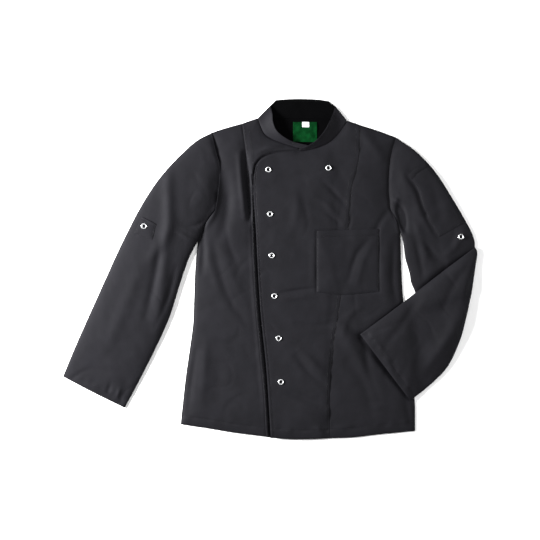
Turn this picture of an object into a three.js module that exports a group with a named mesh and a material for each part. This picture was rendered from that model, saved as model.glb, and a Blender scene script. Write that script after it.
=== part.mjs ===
// A chef jacket laid flat, front up, with its left forearm folded over the body.
// Millimetres. +Z up from the surface it lies on, +X to the wearer's left, +Y to the collar.
import * as THREE from "three";

// Cloth walls, and the gaps that pieces keep.
const clothThickness = 1.2;
const collarThickness = 2;
const labelThickness = 1;
const seamGap = 0.3;
const halfSeam = seamGap / 2;

// How full the layers lie, and how squarely they rise from their edges.
const bodyFullness = 3;
const bodySquareness = 0.6;
const hemLevel = -380;
const hemFade = 60;
const shoulderLevel = 330;
const shoulderFade = 90;
const sleeveEdgeHeight = 3.2;
const sleeveSquareness = 2.5;
const sleeveRoundness = 0.6;
const foldSoftness = 2;

// The collar rises over the first share of its length from the turn, and drops again towards the lap.
const collarStand = 15;
const collarRiseShare = 0.35;
const collarDropFrom = 0.6;
const collarDrop = 0.6;

// How far around a place a layer feels what lies under it.
const lapReach = 27;
const collarReach = 20;
const forearmReach = 18;
const pocketReach = 12;
const smallPatchReach = 6;
const studReach = 2;
const reachWays = 16;
const reliefCell = 20;
const smallestArea = 1e-6;
const spanPasses = 6;

// Ring snap studs.
const studRadius = 6.8;
const studHoleRadius = 3.6;
const studHeight = 1.6;
const studBevel = 0.5;
const studSides = 16;

// How many steps the grids of the pieces have.
const armholeSteps = 8;
const underarmSteps = 3;
const sideSteps = 16;
const bodyRows = armholeSteps + underarmSteps + sideSteps;
const sideColumns = 6;
const shoulderSteps = 1;
const backShoulderSteps = 3;
const backHemSteps = 4;
const backMiddleHemSteps = 1;
const neckSteps = 8;
const lapSteps = 4;
const hiddenLapSteps = 3;
const sleeveColumns = armholeSteps;
const sleeveRows = 18;
const upperArmRows = 9;
const forearmRows = 11;
const collarColumns = neckSteps;
const collarRows = 3;
const pocketSteps = 8;
const penPocketSteps = 6;
const tabPatchSteps = 3;

// Seam lines and edges, each from the shoulder or collar downwards, or from the wearer's right to left.
const shoulderRightSide = [
  { x: -134, y: 313 },
  { x: -110, y: 321.5 },
  { x: -64, y: 334.5 },
];
const shoulderRightCentre = [
  { x: -64, y: 334.5 },
  { x: -28, y: 347 },
];
const shoulderLeftCentre = [
  { x: 177, y: 341 },
  { x: 209, y: 330 },
];
const shoulderLeftSide = [
  { x: 209, y: 330 },
  { x: 248, y: 317.5 },
  { x: 290, y: 302 },
];
const armholeRight = [
  { x: -134, y: 313 },
  { x: -124, y: 271 },
  { x: -116, y: 240 },
  { x: -116, y: 205 },
  { x: -119, y: 172 },
  { x: -125, y: 136 },
];
const underarmRight = [
  { x: -125, y: 136 },
  { x: -150, y: 101 },
  { x: -166, y: 64 },
];
const sideRight = [
  { x: -166, y: 64 },
  { x: -171.5, y: 7 },
  { x: -174.5, y: -67 },
  { x: -176.5, y: -122 },
  { x: -183.5, y: -177 },
  { x: -194, y: -251 },
  { x: -205.5, y: -357 },
];
const armholeLeft = [
  { x: 290, y: 302 },
  { x: 277, y: 253 },
  { x: 273, y: 182 },
  { x: 276, y: 141 },
];
const underarmLeft = [
  { x: 276, y: 141 },
  { x: 290, y: 110 },
  { x: 300, y: 84 },
];
const sideLeft = [
  { x: 300, y: 84 },
  { x: 302, y: 7 },
  { x: 306, y: -69 },
  { x: 319, y: -186 },
  { x: 332.5, y: -300 },
  { x: 333.5, y: -372.5 },
];
const princessRight = [
  { x: -64, y: 334.5 },
  { x: -60, y: 305 },
  { x: -54.5, y: 262 },
  { x: -50, y: 215 },
  { x: -45, y: 168 },
  { x: -42.5, y: 110 },
  { x: -40, y: 30 },
  { x: -34, y: -75 },
  { x: -24, y: -185 },
  { x: -14, y: -290 },
  { x: -9, y: -385.3 },
];
const princessLeft = [
  { x: 209, y: 330 },
  { x: 205, y: 248 },
  { x: 189, y: 182 },
  { x: 182, y: 92 },
  { x: 164, y: -68 },
  { x: 147, y: -179 },
  { x: 138, y: -300 },
  { x: 140, y: -389 },
];
const neckBack = [
  { x: -28, y: 347 },
  { x: 12, y: 347 },
  { x: 69, y: 346 },
  { x: 138, y: 345 },
  { x: 177, y: 341 },
];
const neckRight = [
  { x: -28, y: 347 },
  { x: -20, y: 325 },
  { x: -12, y: 310 },
  { x: 4, y: 299 },
  { x: 36, y: 287 },
  { x: 61, y: 279 },
];
const neckLeft = [
  { x: 66, y: 270 },
  { x: 92, y: 274 },
  { x: 130, y: 288 },
  { x: 156, y: 310 },
  { x: 177, y: 341 },
];
const overLapTop = [
  { x: -32, y: 238 },
  { x: -22, y: 251 },
  { x: -2, y: 262 },
  { x: 30, y: 268 },
  { x: 66, y: 270 },
];
const overLapEdge = [
  { x: -32, y: 238 },
  { x: -37, y: 205 },
  { x: -31, y: 69 },
  { x: -22, y: -92 },
  { x: -8, y: -232 },
  { x: 2, y: -388 },
];
const underLapTop = [
  { x: 61, y: 279 },
  { x: 86, y: 262 },
  { x: 116, y: 246 },
];
const underLapEdge = [
  { x: 116, y: 246 },
  { x: 116, y: 100 },
  { x: 108, y: -120 },
  { x: 100, y: -385 },
];
const hemRightSide = [
  { x: -205.5, y: -357 },
  { x: -138, y: -367 },
  { x: -87, y: -375.5 },
  { x: -28, y: -383 },
  { x: -9, y: -385.3 },
];
const hemUnderLap = [
  { x: -9, y: -385.3 },
  { x: 2, y: -386.3 },
  { x: 100, y: -386 },
];
const hemOverLap = [
  { x: 2, y: -388 },
  { x: 40, y: -390.5 },
  { x: 85, y: -391 },
  { x: 140, y: -389 },
];
const hemLeftSide = [
  { x: 140, y: -389 },
  { x: 193, y: -387 },
  { x: 248, y: -380.5 },
  { x: 333.5, y: -372.5 },
];
const collarBackTop = [
  { x: 14, y: 388.5 },
  { x: 40, y: 390.5 },
  { x: 74, y: 391 },
  { x: 110, y: 389.5 },
  { x: 134, y: 386 },
];
const collarTurnRight = [
  { x: -28, y: 347 },
  { x: -14, y: 361 },
  { x: 1, y: 376 },
];
const collarTurnLeft = [
  { x: 177, y: 341 },
  { x: 161, y: 361 },
  { x: 150, y: 374 },
];
const collarRightTop = [
  { x: 1, y: 376 },
  { x: 5, y: 359 },
  { x: 7, y: 337 },
  { x: 14, y: 319 },
  { x: 28, y: 305 },
  { x: 47, y: 294 },
  { x: 64, y: 288 },
];
const collarRightEnd = [
  { x: 61, y: 279 },
  { x: 64, y: 288 },
];
const collarLeftTop = [
  { x: 70, y: 278 },
  { x: 87, y: 282 },
  { x: 107, y: 295 },
  { x: 123, y: 314 },
  { x: 140, y: 343 },
  { x: 148, y: 365 },
  { x: 150, y: 374 },
];
const collarLeftEnd = [
  { x: 66, y: 270 },
  { x: 70, y: 278 },
];

// The right sleeve hangs free, and the left one is bent: its forearm lies over the upper arm and the body.
const sleeveRightOuter = [
  { x: -134, y: 313 },
  { x: -166, y: 296.5 },
  { x: -203, y: 264.5 },
  { x: -238, y: 228 },
  { x: -267, y: 191 },
  { x: -301, y: 136 },
  { x: -348, y: 43 },
  { x: -379, y: -25 },
  { x: -447, y: -177 },
  { x: -476, y: -247 },
];
const sleeveRightInner = [
  { x: -166, y: 64 },
  { x: -186, y: 25.5 },
  { x: -205.5, y: -30 },
  { x: -228.5, y: -103.5 },
  { x: -243.5, y: -140.5 },
  { x: -269.5, y: -195.5 },
  { x: -307, y: -269 },
  { x: -334, y: -319 },
];
const cuffRight = [
  { x: -476, y: -247 },
  { x: -334, y: -319 },
];
const upperArmOuter = [
  { x: 290, y: 302 },
  { x: 331, y: 274 },
  { x: 359, y: 247.5 },
  { x: 386, y: 215 },
  { x: 414, y: 171 },
  { x: 442, y: 124 },
  { x: 465, y: 80.5 },
  { x: 472, y: 58 },
  { x: 468, y: 5 },
  { x: 458, y: -45 },
];
const upperArmInner = [
  { x: 300, y: 84 },
  { x: 306, y: 62 },
  { x: 311, y: 25 },
  { x: 321, y: -11.5 },
  { x: 324, y: -30 },
  { x: 331.5, y: -48.5 },
  { x: 345, y: -80 },
];
const upperArmEnd = [
  { x: 458, y: -45 },
  { x: 345, y: -80 },
];
const elbow = [
  { x: 471, y: 50 },
  { x: 476, y: 40 },
  { x: 472, y: 4 },
  { x: 463, y: -56 },
];
const forearmUpper = [
  { x: 471, y: 50 },
  { x: 407, y: 2 },
  { x: 337, y: -52 },
  { x: 300, y: -81 },
  { x: 207, y: -150 },
];
const forearmLower = [
  { x: 463, y: -56 },
  { x: 450, y: -117 },
  { x: 437, y: -163 },
  { x: 407, y: -226 },
  { x: 360, y: -273 },
  { x: 322, y: -302 },
];
const cuffLeft = [
  { x: 207, y: -150 },
  { x: 322, y: -302 },
];

// What is set on the panels.
const chestPocketTop = [
  { x: 107, y: 87 },
  { x: 250, y: 92 },
];
const chestPocketBottom = [
  { x: 107, y: -53 },
  { x: 166, y: -59 },
  { x: 250, y: -52 },
];
const penPocketTop = [
  { x: 317, y: 216 },
  { x: 354, y: 242 },
];
const penPocketBottom = [
  { x: 388, y: 74 },
  { x: 446, y: 107 },
];
const penPocketInner = [
  { x: 317, y: 216 },
  { x: 337, y: 189 },
  { x: 353, y: 143 },
  { x: 371, y: 103 },
  { x: 388, y: 74 },
];
const penPocketOuter = [
  { x: 354, y: 242 },
  { x: 383, y: 211 },
  { x: 411, y: 168 },
  { x: 446, y: 107 },
];
const tabPatchTop = [
  { x: -294, y: 120 },
  { x: -261, y: 103 },
];
const tabPatchBottom = [
  { x: -312, y: 83 },
  { x: -270, y: 66 },
];
const neckLabel = { left: 53, right: 108, low: 292, high: 338 };
const sizeTab = { left: 74, right: 90, low: 326, high: 338 };
const studs = [
  { name: "stud_top_left", x: 134, y: 232 },
  { name: "stud_front_1", x: -4, y: 228 },
  { name: "stud_front_2", x: 0, y: 126 },
  { name: "stud_front_3", x: 4, y: 31 },
  { name: "stud_front_4", x: 10, y: -62 },
  { name: "stud_front_5", x: 20, y: -159 },
  { name: "stud_front_6", x: 25, y: -259 },
  { name: "stud_right_sleeve", x: -289, y: 98 },
  { name: "stud_left_sleeve", x: 438, y: 74 },
];

// The largest folds: soft ridges, and troughs where the height is below nothing.
const bodyFolds = [
  { fromX: -54, fromY: 275, toX: -43, toY: 115, width: 34, height: -2.6 },
  { fromX: -140, fromY: 60, toX: -110, toY: -44, width: 60, height: 2.6 },
  { fromX: -112, fromY: -60, toX: -50, toY: -155, width: 60, height: 2.2 },
  { fromX: -165, fromY: -186, toX: -168, toY: -320, width: 40, height: 1.8 },
  { fromX: 212, fromY: 318, toX: 253, toY: 258, width: 60, height: 2 },
  { fromX: 69, fromY: -186, toX: 127, toY: -244, width: 60, height: 2 },
  { fromX: 35, fromY: -285, toX: 127, toY: -318, width: 50, height: 1.8 },
  { fromX: 165, fromY: -150, toX: 240, toY: -290, width: 60, height: 2 },
];
const sleeveRightFolds = [
  { fromX: -237, fromY: 205, toX: -235, toY: 87, width: 90, height: 3 },
  { fromX: -238, fromY: 80, toX: -278, toY: 15, width: 60, height: 2.4 },
  { fromX: -240, fromY: 60, toX: -262, toY: -140, width: 60, height: 2.2 },
];
const upperArmFolds = [
  { fromX: 373, fromY: 191, toX: 396, toY: 97, width: 50, height: -2.4 },
  { fromX: 345, fromY: 74, toX: 382, toY: 25, width: 50, height: -2.2 },
];
const forearmFolds = [
  { fromX: 430, fromY: 0, toX: 300, toY: -190, width: 90, height: 2 },
];

// How high the sleeves stand above their underside, from the armhole (0) to the cuff (1).
const sleeveRightCrests = [
  { along: 0, height: 4.4 },
  { along: 0.2, height: 9 },
  { along: 0.5, height: 11 },
  { along: 1, height: 9 },
];
const upperArmCrests = [
  { along: 0, height: 4.4 },
  { along: 0.35, height: 9.5 },
  { along: 0.75, height: 8 },
  { along: 1, height: 6 },
];
const forearmCrests = [
  { along: 0, height: 6 },
  { along: 0.4, height: 10 },
  { along: 1, height: 9 },
];

function finish(name, colour, roughness, metalness) {
  const material = new THREE.MeshStandardMaterial({ color: colour, roughness, metalness });
  material.name = name;
  return material;
}

const twill = finish("twill", 0x2b2c30, 0.8, 0);
const innerTwill = finish("inner_twill", 0x15161a, 0.85, 0);
const label = finish("label", 0x10693a, 0.7, 0);
const tab = finish("tab", 0xd8d9da, 0.75, 0);
const metal = finish("metal", 0xc9cbcc, 0.28, 1);

// A value from 0 to 1 that starts and ends level between two limits.
function ease(value, low, high) {
  return THREE.MathUtils.smoothstep(value, low, high);
}

// A column of a table at any place along another column.
function readTable(table, alongName, valueName, along) {
  const next = table.findIndex((row) => row[alongName] >= along);
  if (next <= 0) {
    return table[next === 0 ? 0 : table.length - 1][valueName];
  }
  const before = table[next - 1];
  const after = table[next];
  const share = (along - before[alongName]) / (after[alongName] - before[alongName]);
  return THREE.MathUtils.lerp(before[valueName], after[valueName], ease(share, 0, 1));
}

// An edge of a piece: smooth stretches, each through its table and cut into its own number of steps.
function edge(...stretches) {
  const parts = stretches.map(({ through, steps, backwards = false }) => {
    const places = through.map(({ x, y }) => new THREE.Vector3(x, y, 0));
    const curve = new THREE.CatmullRomCurve3(backwards ? places.reverse() : places, false, "centripetal");
    return { curve, steps };
  });
  const steps = parts.reduce((total, part) => total + part.steps, 0);
  function at(share) {
    let step = share * steps;
    let part = 0;
    while (part < parts.length - 1 && step > parts[part].steps) {
      step -= parts[part].steps;
      part += 1;
    }
    return parts[part].curve.getPointAt(Math.min(step / parts[part].steps, 1));
  }
  return { at, steps };
}

// The places of a piece, seen from above, spread between its four edges: rows from start to end,
// and columns from left to right. Each side is then moved in by its own gap.
function spread({ start, end, left, right, gaps = {} }) {
  const columns = start.steps;
  const rows = left.steps;
  const [startLeft, startRight, endLeft, endRight] = [start.at(0), start.at(1), end.at(0), end.at(1)];
  const places = [];
  for (let row = 0; row <= rows; row += 1) {
    const v = row / rows;
    const line = [];
    for (let column = 0; column <= columns; column += 1) {
      const u = column / columns;
      const place = new THREE.Vector3();
      place.addScaledVector(start.at(u), 1 - v).addScaledVector(end.at(u), v);
      place.addScaledVector(left.at(v), 1 - u).addScaledVector(right.at(v), u);
      place.addScaledVector(startLeft, -(1 - u) * (1 - v)).addScaledVector(startRight, -u * (1 - v));
      place.addScaledVector(endLeft, -(1 - u) * v).addScaledVector(endRight, -u * v);
      line.push(place);
    }
    places.push(line);
  }
  moveIn(places, gaps);
  return places;
}

// Moves the outer places of a grid towards the next ones inside.
function moveIn(places, { start = 0, end = 0, left = 0, right = 0 }) {
  const lastRow = places.length - 1;
  const lastColumn = places[0].length - 1;
  const step = (place, inner, gap) => place.addScaledVector(inner.clone().sub(place).normalize(), gap);
  for (let column = 0; column <= lastColumn; column += 1) {
    step(places[0][column], places[1][column], start);
    step(places[lastRow][column], places[lastRow - 1][column], end);
  }
  for (let row = 0; row <= lastRow; row += 1) {
    step(places[row][0], places[row][1], left);
    step(places[row][lastColumn], places[row][lastColumn - 1], right);
  }
}

// The height that soft folds add at a place.
function foldHeight(folds, place) {
  let total = 0;
  for (const { fromX, fromY, toX, toY, width, height } of folds) {
    const line = new THREE.Line3(new THREE.Vector3(fromX, fromY, 0), new THREE.Vector3(toX, toY, 0));
    const flatPlace = new THREE.Vector3(place.x, place.y, 0);
    const nearest = line.closestPointToPoint(flatPlace, true, new THREE.Vector3());
    const offset = nearest.distanceTo(flatPlace) / (width / 2);
    total += height * Math.exp(-foldSoftness * offset * offset);
  }
  return total;
}

// How high the underside of the fronts lies: low at the side seams and the shoulders, fuller between them.
const bodySideRight = [...armholeRight, ...underarmRight.slice(1), ...sideRight.slice(1)].reverse();
const bodySideLeft = [...armholeLeft, ...underarmLeft.slice(1), ...sideLeft.slice(1)].reverse();

function frontUnderside(place) {
  const rightSeam = readTable(bodySideRight, "y", "x", place.y);
  const leftSeam = readTable(bodySideLeft, "y", "x", place.y);
  const across = THREE.MathUtils.clamp((place.x - rightSeam) / (leftSeam - rightSeam), 0, 1);
  const hemShare = ease(place.y, hemLevel - hemFade, hemLevel + hemFade);
  const fade = hemShare * ease(shoulderLevel - place.y, 0, shoulderFade);
  const inside = Math.sin(Math.PI * across) ** bodySquareness;
  const rise = (bodyFullness + foldHeight(bodyFolds, place)) * inside * fade;
  return clothThickness + seamGap + Math.max(rise, 0);
}

// The upper faces of pieces already laid, to rest the next ones on.
class Relief {
  constructor(meshes) {
    this.cells = new Map();
    meshes.forEach((mesh) => this.add(mesh.geometry));
  }

  add(geometry) {
    const position = geometry.getAttribute("position");
    const order = geometry.getIndex();
    for (let first = 0; first < order.count; first += 3) {
      const corners = [0, 1, 2].map((n) => {
        return new THREE.Vector3().fromBufferAttribute(position, order.getX(first + n));
      });
      const box = new THREE.Box3().setFromPoints(corners);
      for (let cellX = this.cell(box.min.x); cellX <= this.cell(box.max.x); cellX += 1) {
        for (let cellY = this.cell(box.min.y); cellY <= this.cell(box.max.y); cellY += 1) {
          const key = `${cellX},${cellY}`;
          if (!this.cells.has(key)) {
            this.cells.set(key, []);
          }
          this.cells.get(key).push(corners);
        }
      }
    }
  }

  cell(value) {
    return Math.floor(value / reliefCell);
  }

  heightAt(x, y) {
    let height = -Infinity;
    for (const [a, b, c] of this.cells.get(`${this.cell(x)},${this.cell(y)}`) ?? []) {
      const area = (b.x - a.x) * (c.y - a.y) - (c.x - a.x) * (b.y - a.y);
      if (Math.abs(area) > smallestArea) {
        const shareB = ((x - a.x) * (c.y - a.y) - (c.x - a.x) * (y - a.y)) / area;
        const shareC = ((b.x - a.x) * (y - a.y) - (x - a.x) * (b.y - a.y)) / area;
        if (shareB >= 0 && shareC >= 0 && shareB + shareC <= 1) {
          height = Math.max(height, a.z + shareB * (b.z - a.z) + shareC * (c.z - a.z));
        }
      }
    }
    return height;
  }

  highestNear({ x, y }, reach) {
    let height = this.heightAt(x, y);
    for (const distance of [reach / 3, (2 * reach) / 3, reach]) {
      for (let step = 0; step < reachWays; step += 1) {
        const way = (2 * Math.PI * step) / reachWays;
        const near = this.heightAt(x + distance * Math.cos(way), y + distance * Math.sin(way));
        height = Math.max(height, near);
      }
    }
    return height;
  }
}

// Stiff cloth spans the hollows under it: each place rises to the middle of its neighbours.
function spanHollows(heights, passes) {
  for (let pass = 0; pass < passes; pass += 1) {
    const before = heights.map((line) => [...line]);
    for (let row = 1; row < heights.length - 1; row += 1) {
      for (let column = 1; column < heights[row].length - 1; column += 1) {
        const across = (before[row][column - 1] + before[row][column + 1]) / 2;
        const along = (before[row - 1][column] + before[row + 1][column]) / 2;
        heights[row][column] = Math.max(before[row][column], (across + along) / 2);
      }
    }
  }
  return heights;
}

// Makes a closed body of places and faces, turned so that its faces point out.
function body(name, places, faces, material) {
  const geometry = new THREE.BufferGeometry().setFromPoints(places);
  let volume = 0;
  for (const [a, b, c] of faces) {
    volume += places[a].dot(places[b].clone().cross(places[c]));
  }
  geometry.setIndex(faces.flatMap(([a, b, c]) => (volume > 0 ? [a, b, c] : [a, c, b])));
  geometry.computeVertexNormals();
  const mesh = new THREE.Mesh(geometry, material.clone());
  mesh.name = name;
  return mesh;
}

// Joins two lines of places, given by their numbers, by a strip of faces.
function strip(first, second) {
  const faces = [];
  for (let n = 0; n < first.length - 1; n += 1) {
    faces.push([first[n], first[n + 1], second[n + 1]], [first[n], second[n + 1], second[n]]);
  }
  return faces;
}

// A cloth wall over a grid of places, from its underside heights and a thickness.
function wall(name, grid, underside, thickness, material) {
  const rows = grid.length;
  const columns = grid[0].length;
  const places = [];
  for (const layer of [0, thickness]) {
    grid.forEach((line, row) => {
      line.forEach((place, column) => {
        places.push(new THREE.Vector3(place.x, place.y, underside[row][column] + layer));
      });
    });
  }
  const number = (layer, row, column) => (layer * rows + row) * columns + column;
  const lines = (layer) => grid.map((line, row) => line.map((place, column) => number(layer, row, column)));
  const [lower, upper] = [lines(0), lines(1)];
  const faces = [];
  for (let row = 0; row < rows - 1; row += 1) {
    faces.push(...strip(upper[row], upper[row + 1]), ...strip(lower[row + 1], lower[row]));
  }
  const rim = (layer) => [
    ...layer[0],
    ...layer.slice(1).map((line) => line[columns - 1]),
    ...layer[rows - 1].slice(0, -1).reverse(),
    ...layer.slice(0, -1).reverse().map((line) => line[0]),
  ];
  faces.push(...strip(rim(lower), rim(upper)));
  return body(name, places, faces, material);
}

// A flattened tube of cloth, open at both ends: a ring of places round each row of the grid, and a
// second ring inside it by the thickness of the cloth.
function tube(name, grid, underside, topside, material) {
  const columns = grid[0].length - 1;
  const places = [];
  const ring = (row, inner) => {
    const line = grid[row].map((place) => place.clone());
    if (inner) {
      const across = (from, to) => line[to].clone().sub(line[from]).setLength(clothThickness);
      line[0].add(across(0, 1));
      line[columns].add(across(columns, columns - 1));
    }
    const lift = inner ? clothThickness : 0;
    const numbers = [];
    for (let column = 0; column <= columns; column += 1) {
      numbers.push(places.length);
      places.push(line[column].clone().setZ(underside[row][column] + lift));
    }
    for (let column = columns; column >= 0; column -= 1) {
      numbers.push(places.length);
      places.push(line[column].clone().setZ(topside[row][column] - lift));
    }
    return [...numbers, numbers[0]];
  };
  const outer = grid.map((line, row) => ring(row, false));
  const inner = grid.map((line, row) => ring(row, true));
  const faces = [...strip(inner[0], outer[0]), ...strip(outer.at(-1), inner.at(-1))];
  for (let row = 0; row < grid.length - 1; row += 1) {
    faces.push(...strip(outer[row], outer[row + 1]), ...strip(inner[row + 1], inner[row]));
  }
  return body(name, places, faces, material);
}

// The upper side of a tube: blunt edges, a rounded crest between them, and folds.
function roundedTop(grid, underside, crests, folds) {
  const rows = grid.length - 1;
  return grid.map((line, row) => {
    const crest = readTable(crests, "along", "height", row / rows);
    return line.map((place, column) => {
      const offset = Math.abs((2 * column) / (line.length - 1) - 1);
      const roundness = (1 - offset ** sleeveSquareness) ** sleeveRoundness;
      const height = (crest - sleeveEdgeHeight + foldHeight(folds, place)) * roundness;
      return underside[row][column] + sleeveEdgeHeight + Math.max(height, 0);
    });
  });
}

function flatHeights(grid, height) {
  return grid.map((line) => line.map(() => height));
}

// Back: one flat panel, cut along the outline of the body.
function makeBack() {
  const outline = edge(
    { through: shoulderRightCentre, steps: shoulderSteps, backwards: true },
    { through: shoulderRightSide, steps: backShoulderSteps, backwards: true },
    { through: armholeRight, steps: armholeSteps },
    { through: underarmRight, steps: underarmSteps },
    { through: sideRight, steps: sideSteps },
    { through: hemRightSide, steps: backHemSteps },
    { through: hemUnderLap.slice(0, -1), steps: backMiddleHemSteps },
    { through: hemOverLap, steps: backHemSteps },
    { through: hemLeftSide, steps: backHemSteps },
    { through: sideLeft, steps: sideSteps, backwards: true },
    { through: underarmLeft, steps: underarmSteps, backwards: true },
    { through: armholeLeft, steps: armholeSteps, backwards: true },
    { through: shoulderLeftSide, steps: backShoulderSteps, backwards: true },
    { through: shoulderLeftCentre, steps: shoulderSteps, backwards: true },
    { through: neckBack, steps: collarColumns, backwards: true },
  );
  const shape = new THREE.Shape();
  for (let step = 0; step < outline.steps; step += 1) {
    const place = outline.at(step / outline.steps);
    if (step === 0) {
      shape.moveTo(place.x, place.y);
    } else {
      shape.lineTo(place.x, place.y);
    }
  }
  const geometry = new THREE.ExtrudeGeometry(shape, { depth: clothThickness, bevelEnabled: false });
  const mesh = new THREE.Mesh(geometry, innerTwill.clone());
  mesh.name = "back";
  return mesh;
}

const sideEdgeRight = edge(
  { through: armholeRight, steps: armholeSteps },
  { through: underarmRight, steps: underarmSteps },
  { through: sideRight, steps: sideSteps },
);
const sideEdgeLeft = edge(
  { through: armholeLeft, steps: armholeSteps },
  { through: underarmLeft, steps: underarmSteps },
  { through: sideLeft, steps: sideSteps },
);
const princessEdgeRight = edge({ through: princessRight, steps: bodyRows });
const princessEdgeLeft = edge({ through: princessLeft, steps: bodyRows });

function frontWall(name, grid) {
  return wall(name, grid, grid.map((line) => line.map(frontUnderside)), clothThickness, twill);
}

function makeRightFrontSide() {
  return frontWall("right_front_side", spread({
    start: edge({ through: shoulderRightSide, steps: sideColumns }),
    end: edge({ through: hemRightSide, steps: sideColumns }),
    left: sideEdgeRight,
    right: princessEdgeRight,
    gaps: { right: halfSeam },
  }));
}

function makeRightFrontCentre() {
  const columns = shoulderSteps + neckSteps + hiddenLapSteps;
  return frontWall("right_front_centre", spread({
    start: edge(
      { through: shoulderRightCentre, steps: shoulderSteps },
      { through: neckRight, steps: neckSteps },
      { through: underLapTop, steps: hiddenLapSteps },
    ),
    end: edge({ through: hemUnderLap, steps: columns }),
    left: princessEdgeRight,
    right: edge({ through: underLapEdge, steps: bodyRows }),
    gaps: { left: halfSeam },
  }));
}

// The over-lap front lies on the under-lap as far as that reaches.
function makeLeftFrontCentre(underLap) {
  const grid = spread({
    start: edge(
      { through: overLapTop, steps: lapSteps },
      { through: neckLeft, steps: neckSteps },
      { through: shoulderLeftCentre, steps: shoulderSteps },
    ),
    end: edge({ through: hemOverLap, steps: lapSteps + neckSteps + shoulderSteps }),
    left: edge({ through: overLapEdge, steps: bodyRows }),
    right: princessEdgeLeft,
    gaps: { right: halfSeam },
  });
  const relief = new Relief([underLap]);
  const underside = grid.map((line) => line.map((place) => {
    return Math.max(frontUnderside(place), relief.highestNear(place, lapReach) + seamGap);
  }));
  return wall("left_front_centre", grid, underside, clothThickness, twill);
}

function makeLeftFrontSide() {
  return frontWall("left_front_side", spread({
    start: edge({ through: shoulderLeftSide, steps: sideColumns }),
    end: edge({ through: hemLeftSide, steps: sideColumns }),
    left: princessEdgeLeft,
    right: sideEdgeLeft,
    gaps: { left: halfSeam },
  }));
}

// Standing collar: flat at the back with its inside up, and standing along the fronts.
function makeCollarBack() {
  const grid = spread({
    start: edge({ through: collarBackTop, steps: collarColumns }),
    end: edge({ through: neckBack, steps: collarColumns }),
    left: edge(
      { through: [collarBackTop.at(0), collarTurnRight.at(-1)], steps: 1 },
      { through: collarTurnRight, steps: collarRows, backwards: true },
    ),
    right: edge(
      { through: [collarBackTop.at(-1), collarTurnLeft.at(-1)], steps: 1 },
      { through: collarTurnLeft, steps: collarRows, backwards: true },
    ),
    gaps: { end: seamGap, left: halfSeam, right: halfSeam },
  });
  return wall("collar_back", grid, flatHeights(grid, 0), collarThickness, innerTwill);
}

function makeCollarFront(name, seam, top, turn, end, turnAtStart, laid) {
  const [left, right] = turnAtStart ? [turn, end] : [end, turn];
  const grid = spread({
    start: edge({ through: seam, steps: collarColumns }),
    end: edge({ through: top, steps: collarColumns }),
    left: edge({ through: left, steps: collarRows }),
    right: edge({ through: right, steps: collarRows }),
    gaps: { start: seamGap, left: seamGap, right: seamGap },
  });
  const relief = new Relief(laid);
  const underside = grid.map((line, row) => line.map((place, column) => {
    const fromTurn = turnAtStart ? column / collarColumns : 1 - column / collarColumns;
    const drop = collarDrop * ease(fromTurn, collarDropFrom, 1);
    const stand = collarStand * ease(fromTurn, 0, collarRiseShare) * (1 - drop);
    const seamHeight = Math.max(frontUnderside(place), relief.highestNear(place, collarReach) + seamGap);
    return seamHeight + (stand * row) / collarRows;
  }));
  return wall(name, grid, underside, collarThickness, twill);
}

function makeRightSleeve() {
  const grid = spread({
    start: edge({ through: armholeRight, steps: sleeveColumns }),
    end: edge({ through: cuffRight, steps: sleeveColumns }),
    left: edge({ through: sleeveRightOuter, steps: sleeveRows }),
    right: edge({ through: underarmRight, steps: underarmSteps }, {
      through: sleeveRightInner,
      steps: sleeveRows - underarmSteps,
    }),
    gaps: { start: seamGap, right: seamGap },
  });
  const underside = flatHeights(grid, 0);
  const topside = roundedTop(grid, underside, sleeveRightCrests, sleeveRightFolds);
  return tube("right_sleeve", grid, underside, topside, twill);
}

function makeUpperArm() {
  const grid = spread({
    start: edge({ through: armholeLeft, steps: sleeveColumns, backwards: true }),
    end: edge({ through: upperArmEnd, steps: sleeveColumns, backwards: true }),
    left: edge({ through: underarmLeft, steps: underarmSteps }, {
      through: upperArmInner,
      steps: upperArmRows - underarmSteps,
    }),
    right: edge({ through: upperArmOuter, steps: upperArmRows }),
    gaps: { start: seamGap, left: seamGap },
  });
  const underside = flatHeights(grid, 0);
  const topside = roundedTop(grid, underside, upperArmCrests, upperArmFolds);
  return tube("left_sleeve_upper_arm", grid, underside, topside, twill);
}

// The forearm rests on the upper arm, the front and the surface, and spans what lies between them.
function makeForearm(laid) {
  const grid = spread({
    start: edge({ through: elbow, steps: sleeveColumns }),
    end: edge({ through: cuffLeft, steps: sleeveColumns }),
    left: edge({ through: forearmUpper, steps: forearmRows }),
    right: edge({ through: forearmLower, steps: forearmRows }),
  });
  const relief = new Relief(laid);
  const resting = grid.map((line) => line.map((place) => {
    return Math.max(relief.highestNear(place, forearmReach), 0) + seamGap;
  }));
  const underside = spanHollows(resting, spanPasses);
  const topside = roundedTop(grid, underside, forearmCrests, forearmFolds);
  return tube("left_sleeve_forearm", grid, underside, topside, twill);
}

// A patch follows the panels under it.
function makePatch(name, { top, bottom, inner, outer }, steps, reach, laid) {
  const grid = spread({
    start: edge({ through: top, steps }),
    end: edge({ through: bottom, steps }),
    left: edge({ through: inner ?? [top[0], bottom[0]], steps }),
    right: edge({ through: outer ?? [top.at(-1), bottom.at(-1)], steps }),
  });
  const relief = new Relief(laid);
  const underside = grid.map((line) => line.map((place) => relief.highestNear(place, reach) + seamGap));
  return wall(name, grid, underside, clothThickness, twill);
}

function makeLabel(name, { left, right, low, high }, height, material) {
  const shape = new THREE.Shape();
  shape.moveTo(left, low).lineTo(right, low).lineTo(right, high).lineTo(left, high).closePath();
  const geometry = new THREE.ExtrudeGeometry(shape, { depth: labelThickness, bevelEnabled: false });
  const mesh = new THREE.Mesh(geometry, material.clone());
  mesh.name = name;
  mesh.position.z = height;
  return mesh;
}

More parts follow.
